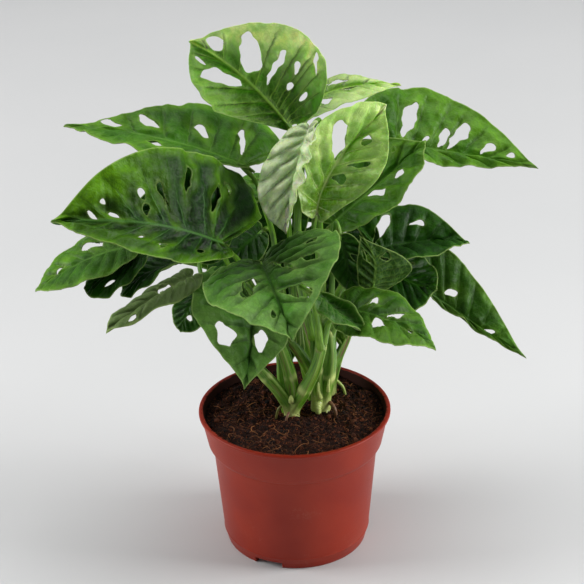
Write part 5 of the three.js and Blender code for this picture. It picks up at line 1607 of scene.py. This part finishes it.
def peat_finish(name, dark, light, fleck, fine):
    """Peat: browns by the height of fine noise, orange-brown flecks, and a coarse matt relief."""
    made, g, shader = material(name, Specular_IOR_Level=0.25, Roughness=0.92)
    place = g.add("ShaderNodeTexCoord", out="Object")
    wide = g.noise(place, 260.0 * fine, 5.0, 0.62)
    small = g.noise(place, 1500.0 * fine, 3.0, 0.7)
    both = g.math("ADD", g.math("MULTIPLY", wide, 0.6), g.math("MULTIPLY", small, 0.4))
    body = g.mix(g.fade(both, 0.36, 0.68), rgb(*dark), rgb(*light))
    flecks = g.fade(g.noise(place, 620.0 * fine, 2.0, 0.5, 1.5), 0.6, 0.68)
    body = g.mix(g.math("MULTIPLY", flecks, 0.75), body, rgb(*fleck))
    dressed(g, shader, body, None, both, 1.6 * MM)
    return made


def fibre_finish(name, dark, light):
    """Fibres and crumbs: each takes its own tone between two browns."""
    made, g, shader = material(name, Specular_IOR_Level=0.3, Roughness=0.85)
    tone = g.split("tone")[0]
    place = g.add("ShaderNodeTexCoord", out="Object")
    grain = g.noise(place, 1400.0, 3.0, 0.6)
    tone = g.math("POWER", tone, 1.8)
    body = g.mix(g.math("MULTIPLY", tone, g.math("ADD", grain, 0.4)), rgb(*dark), rgb(*light))
    dressed(g, shader, body, None, grain, 0.5 * MM)
    return made


def plastic_finish(grime):
    """Moulded plastic: terracotta red with a faint uneven tone, satin, with dust in smears, pale
    scuffs, a fine orange-peel relief, and the inside of the collar a rougher dark brown, in patches
    near the rim and fully from a little below it; the inside is where the radius less the collar's
    slope is smaller than its outer face's."""
    made, g, shader = material("pot_plastic", Specular_IOR_Level=0.32)
    place = g.add("ShaderNodeTexCoord", out="Object")
    cloud = g.noise(place, 28.0, 4.0, 0.5)
    body = g.mix(g.fade(cloud, 0.3, 0.7), rgb(140, 38, 18), rgb(155, 49, 28))
    dust = used(g, grime, scale=38.0, amount=0.5)["Mask"]
    scuffs = used(g, grime, scale=130.0, amount=0.12)["Mask"]
    body = g.mix(g.math("MULTIPLY", dust, 0.12), body, rgb(190, 140, 122))
    body = g.mix(g.math("MULTIPLY", scuffs, 0.5), body, rgb(206, 176, 162))
    rise = POT_HEIGHT - BEAD_HEIGHT - COLLAR_FOOT
    slope = (RIM_RADIUS - BEAD_DEPTH - COLLAR_FOOT_RADIUS) / rise
    flat = g.scaled(place, (1, 1, 0))
    radius = g.add("ShaderNodeVectorMath", {0: flat}, out=1, operation="LENGTH")
    height = g.add("ShaderNodeSeparateXYZ", {0: place}, out=2)
    depth = g.math("SUBTRACT", radius, g.math("MULTIPLY", height, slope))
    face = (COLLAR_FOOT_RADIUS - slope * COLLAR_FOOT) * MM
    above = g.fade(height, (COLLAR_FOOT + 2) * MM, (COLLAR_FOOT + 6) * MM)
    inner = g.math("MULTIPLY", g.fade(depth, face - 0.4 * MM, face - 0.8 * MM), above)
    low = g.fade(height, (POT_HEIGHT + 0.2) * MM, (POT_HEIGHT - 2.5) * MM)
    # Darkens the inside of the collar to a dark brown in patches, from a little below the rim down.
    inner_darkening = g.math("ADD", g.noise(place, 240.0, 4.0, 0.6), low)
    inner_darkening = g.math("MULTIPLY", inner, g.fade(inner_darkening, 0.45, 0.75))
    body = g.mix(g.math("MULTIPLY", inner_darkening, 0.92), body, rgb(40, 24, 17))
    rough = g.math("ADD", g.fade(cloud, 0.3, 0.7, 0.4, 0.48), g.math("MULTIPLY", dust, 0.14))
    rough = g.math("ADD", rough, g.math("MULTIPLY", inner_darkening, 0.4))
    peel = g.noise(place, 1900.0, 2.0, 0.5)
    dressed(g, shader, body, rough, peel, 0.06 * MM)
    return made


# ---- The pieces ---------------------------------------------------------------------------------
pattern = leaf_pattern()
finishes = {name: leaf_finish(name, pattern, values) for name, values in LEAVES.items()}
finishes["stem"] = stem_finish()
finishes["plastic"] = plastic_finish(grimed())
finishes["peat"] = peat_finish("peat", (12, 6, 4), (62, 32, 20), (146, 80, 46), 1.0)
finishes["crumb"] = fibre_finish("peat_crumb", (20, 10, 7), (112, 62, 38))
finishes["fibre"] = fibre_finish("peat_fibre", (52, 28, 17), (172, 112, 70))

pot_piece()
soil_piece()
crumb_piece()
fibre_piece()
for seed, (name, cane) in enumerate(CANES.items()):
    cane_piece(name, cane, seed)
for seed, (name, spec) in enumerate(BLADES.items()):
    blade_piece(name.replace("leaf", "blade"), spec, seed)


# ---- Floor, lights and camera -------------------------------------------------------------------
PAPER_PROFILE = [(0.001, 0), (2.6, 0), (3.2, 0.06), (3.6, 0.3), (3.8, 0.8), (3.8, 2.4)]  # metres
FLOOR_TURNS = 64


def floor():
    """A pale studio floor that curves up into a wall all round, far from the object: a profile
    turned about the middle."""
    made, g, shader = material("floor_paper", Specular_IOR_Level=0.2, Roughness=0.75)
    place = g.add("ShaderNodeTexCoord", out="Object")
    cloud = g.noise(place, 3.5, 3.0, 0.5)
    paper = g.mix(cloud, rgb(204, 205, 205), rgb(213, 213, 213))
    depth = g.add("ShaderNodeSeparateXYZ", {0: place}, out=1)
    # Painted light: the paper is tinted darker towards the front and lighter towards the back, by
    # its Y.
    dressed(g, shader, g.tinted(paper, g.fade(depth, 0.35, 1.1, 0.96, 1.08)))
    radius, height = np.array(PAPER_PROFILE).T[..., None]
    points = turned(radius, height, round_turn(FLOOR_TURNS)).reshape(-1, 3)
    faces = grid_faces(len(PAPER_PROFILE), FLOOR_TURNS, round_columns=True)[:, ::-1]
    mesh = bpy.data.meshes.new("studio_floor")
    mesh.from_pydata(points.tolist(), [], faces.tolist())
    mesh.polygons.foreach_set("use_smooth", np.ones(len(faces), bool))
    mesh.materials.append(made)
    sheet = bpy.data.objects.new("studio_floor", mesh)
    bpy.context.scene.collection.objects.link(sheet)


SOFTBOXES = {  # place, the point it faces, size in metres, and power in watts
    "left_softbox": ((-1.2, 0, 0.7), (0, 0, 0.15), (0.6, 0.9), 12),
    "right_softbox": ((1.2, -0.1, 0.7), (0, 0, 0.15), (0.6, 0.9), 16),
    "overhead": ((0, 0.6, 2.9), (0, 0.4, 0), (2.8, 2.4), 52),
}
ROOM_COLOUR = (0.9, 0.92, 0.95, 1)
ROOM_LIGHT = 0.14


def softbox(name, place, target, size, power):
    """A rectangular area light that faces a point."""
    data = bpy.data.lights.new(name, "AREA")
    data.shape = "RECTANGLE"
    data.size, data.size_y = size
    data.energy = power
    lamp = bpy.data.objects.new(name, data)
    lamp.location = place
    lamp.rotation_mode = "QUATERNION"
    aim = Vector(target) - Vector(place)
    lamp.rotation_quaternion = aim.to_track_quat("-Z", "Y")
    bpy.context.scene.collection.objects.link(lamp)


CAMERA_DISTANCE = 1.1  # metres
CAMERA_PITCH = math.radians(26.25)
CAMERA_ROLL = math.radians(-1.06)
CAMERA_AIM = Vector((-0.0003, 0, 0.171))
CAMERA_LENS = 111.9  # mm, on a film 36 mm wide
FILM_WIDTH = 36


def camera():
    """A view from the front, pitched down at the plant and rolled by a degree."""
    back = Vector((0, -math.cos(CAMERA_PITCH), math.sin(CAMERA_PITCH)))
    right = Vector((1, 0, 0))
    up = back.cross(right)
    across = right * math.cos(CAMERA_ROLL) + up * math.sin(CAMERA_ROLL)
    above = up * math.cos(CAMERA_ROLL) - right * math.sin(CAMERA_ROLL)
    turn = Matrix((across, above, back)).transposed()
    data = bpy.data.cameras.new("camera")
    data.lens = CAMERA_LENS
    data.sensor_width = FILM_WIDTH
    made = bpy.data.objects.new("camera", data)
    made.matrix_world = Matrix.Translation(CAMERA_AIM + back * CAMERA_DISTANCE) @ turn.to_4x4()
    bpy.context.scene.collection.objects.link(made)
    bpy.context.scene.camera = made


def room():
    """A faint even light from all round."""
    world = bpy.data.worlds.new("studio")
    world.use_nodes = True
    background = world.node_tree.nodes["Background"]
    background.inputs["Color"].default_value = ROOM_COLOUR
    background.inputs["Strength"].default_value = ROOM_LIGHT
    bpy.context.scene.world = world


floor()
for name, values in SOFTBOXES.items():
    softbox(name, *values)
camera()
room()
bpy.context.scene.view_settings.view_transform = "Standard"
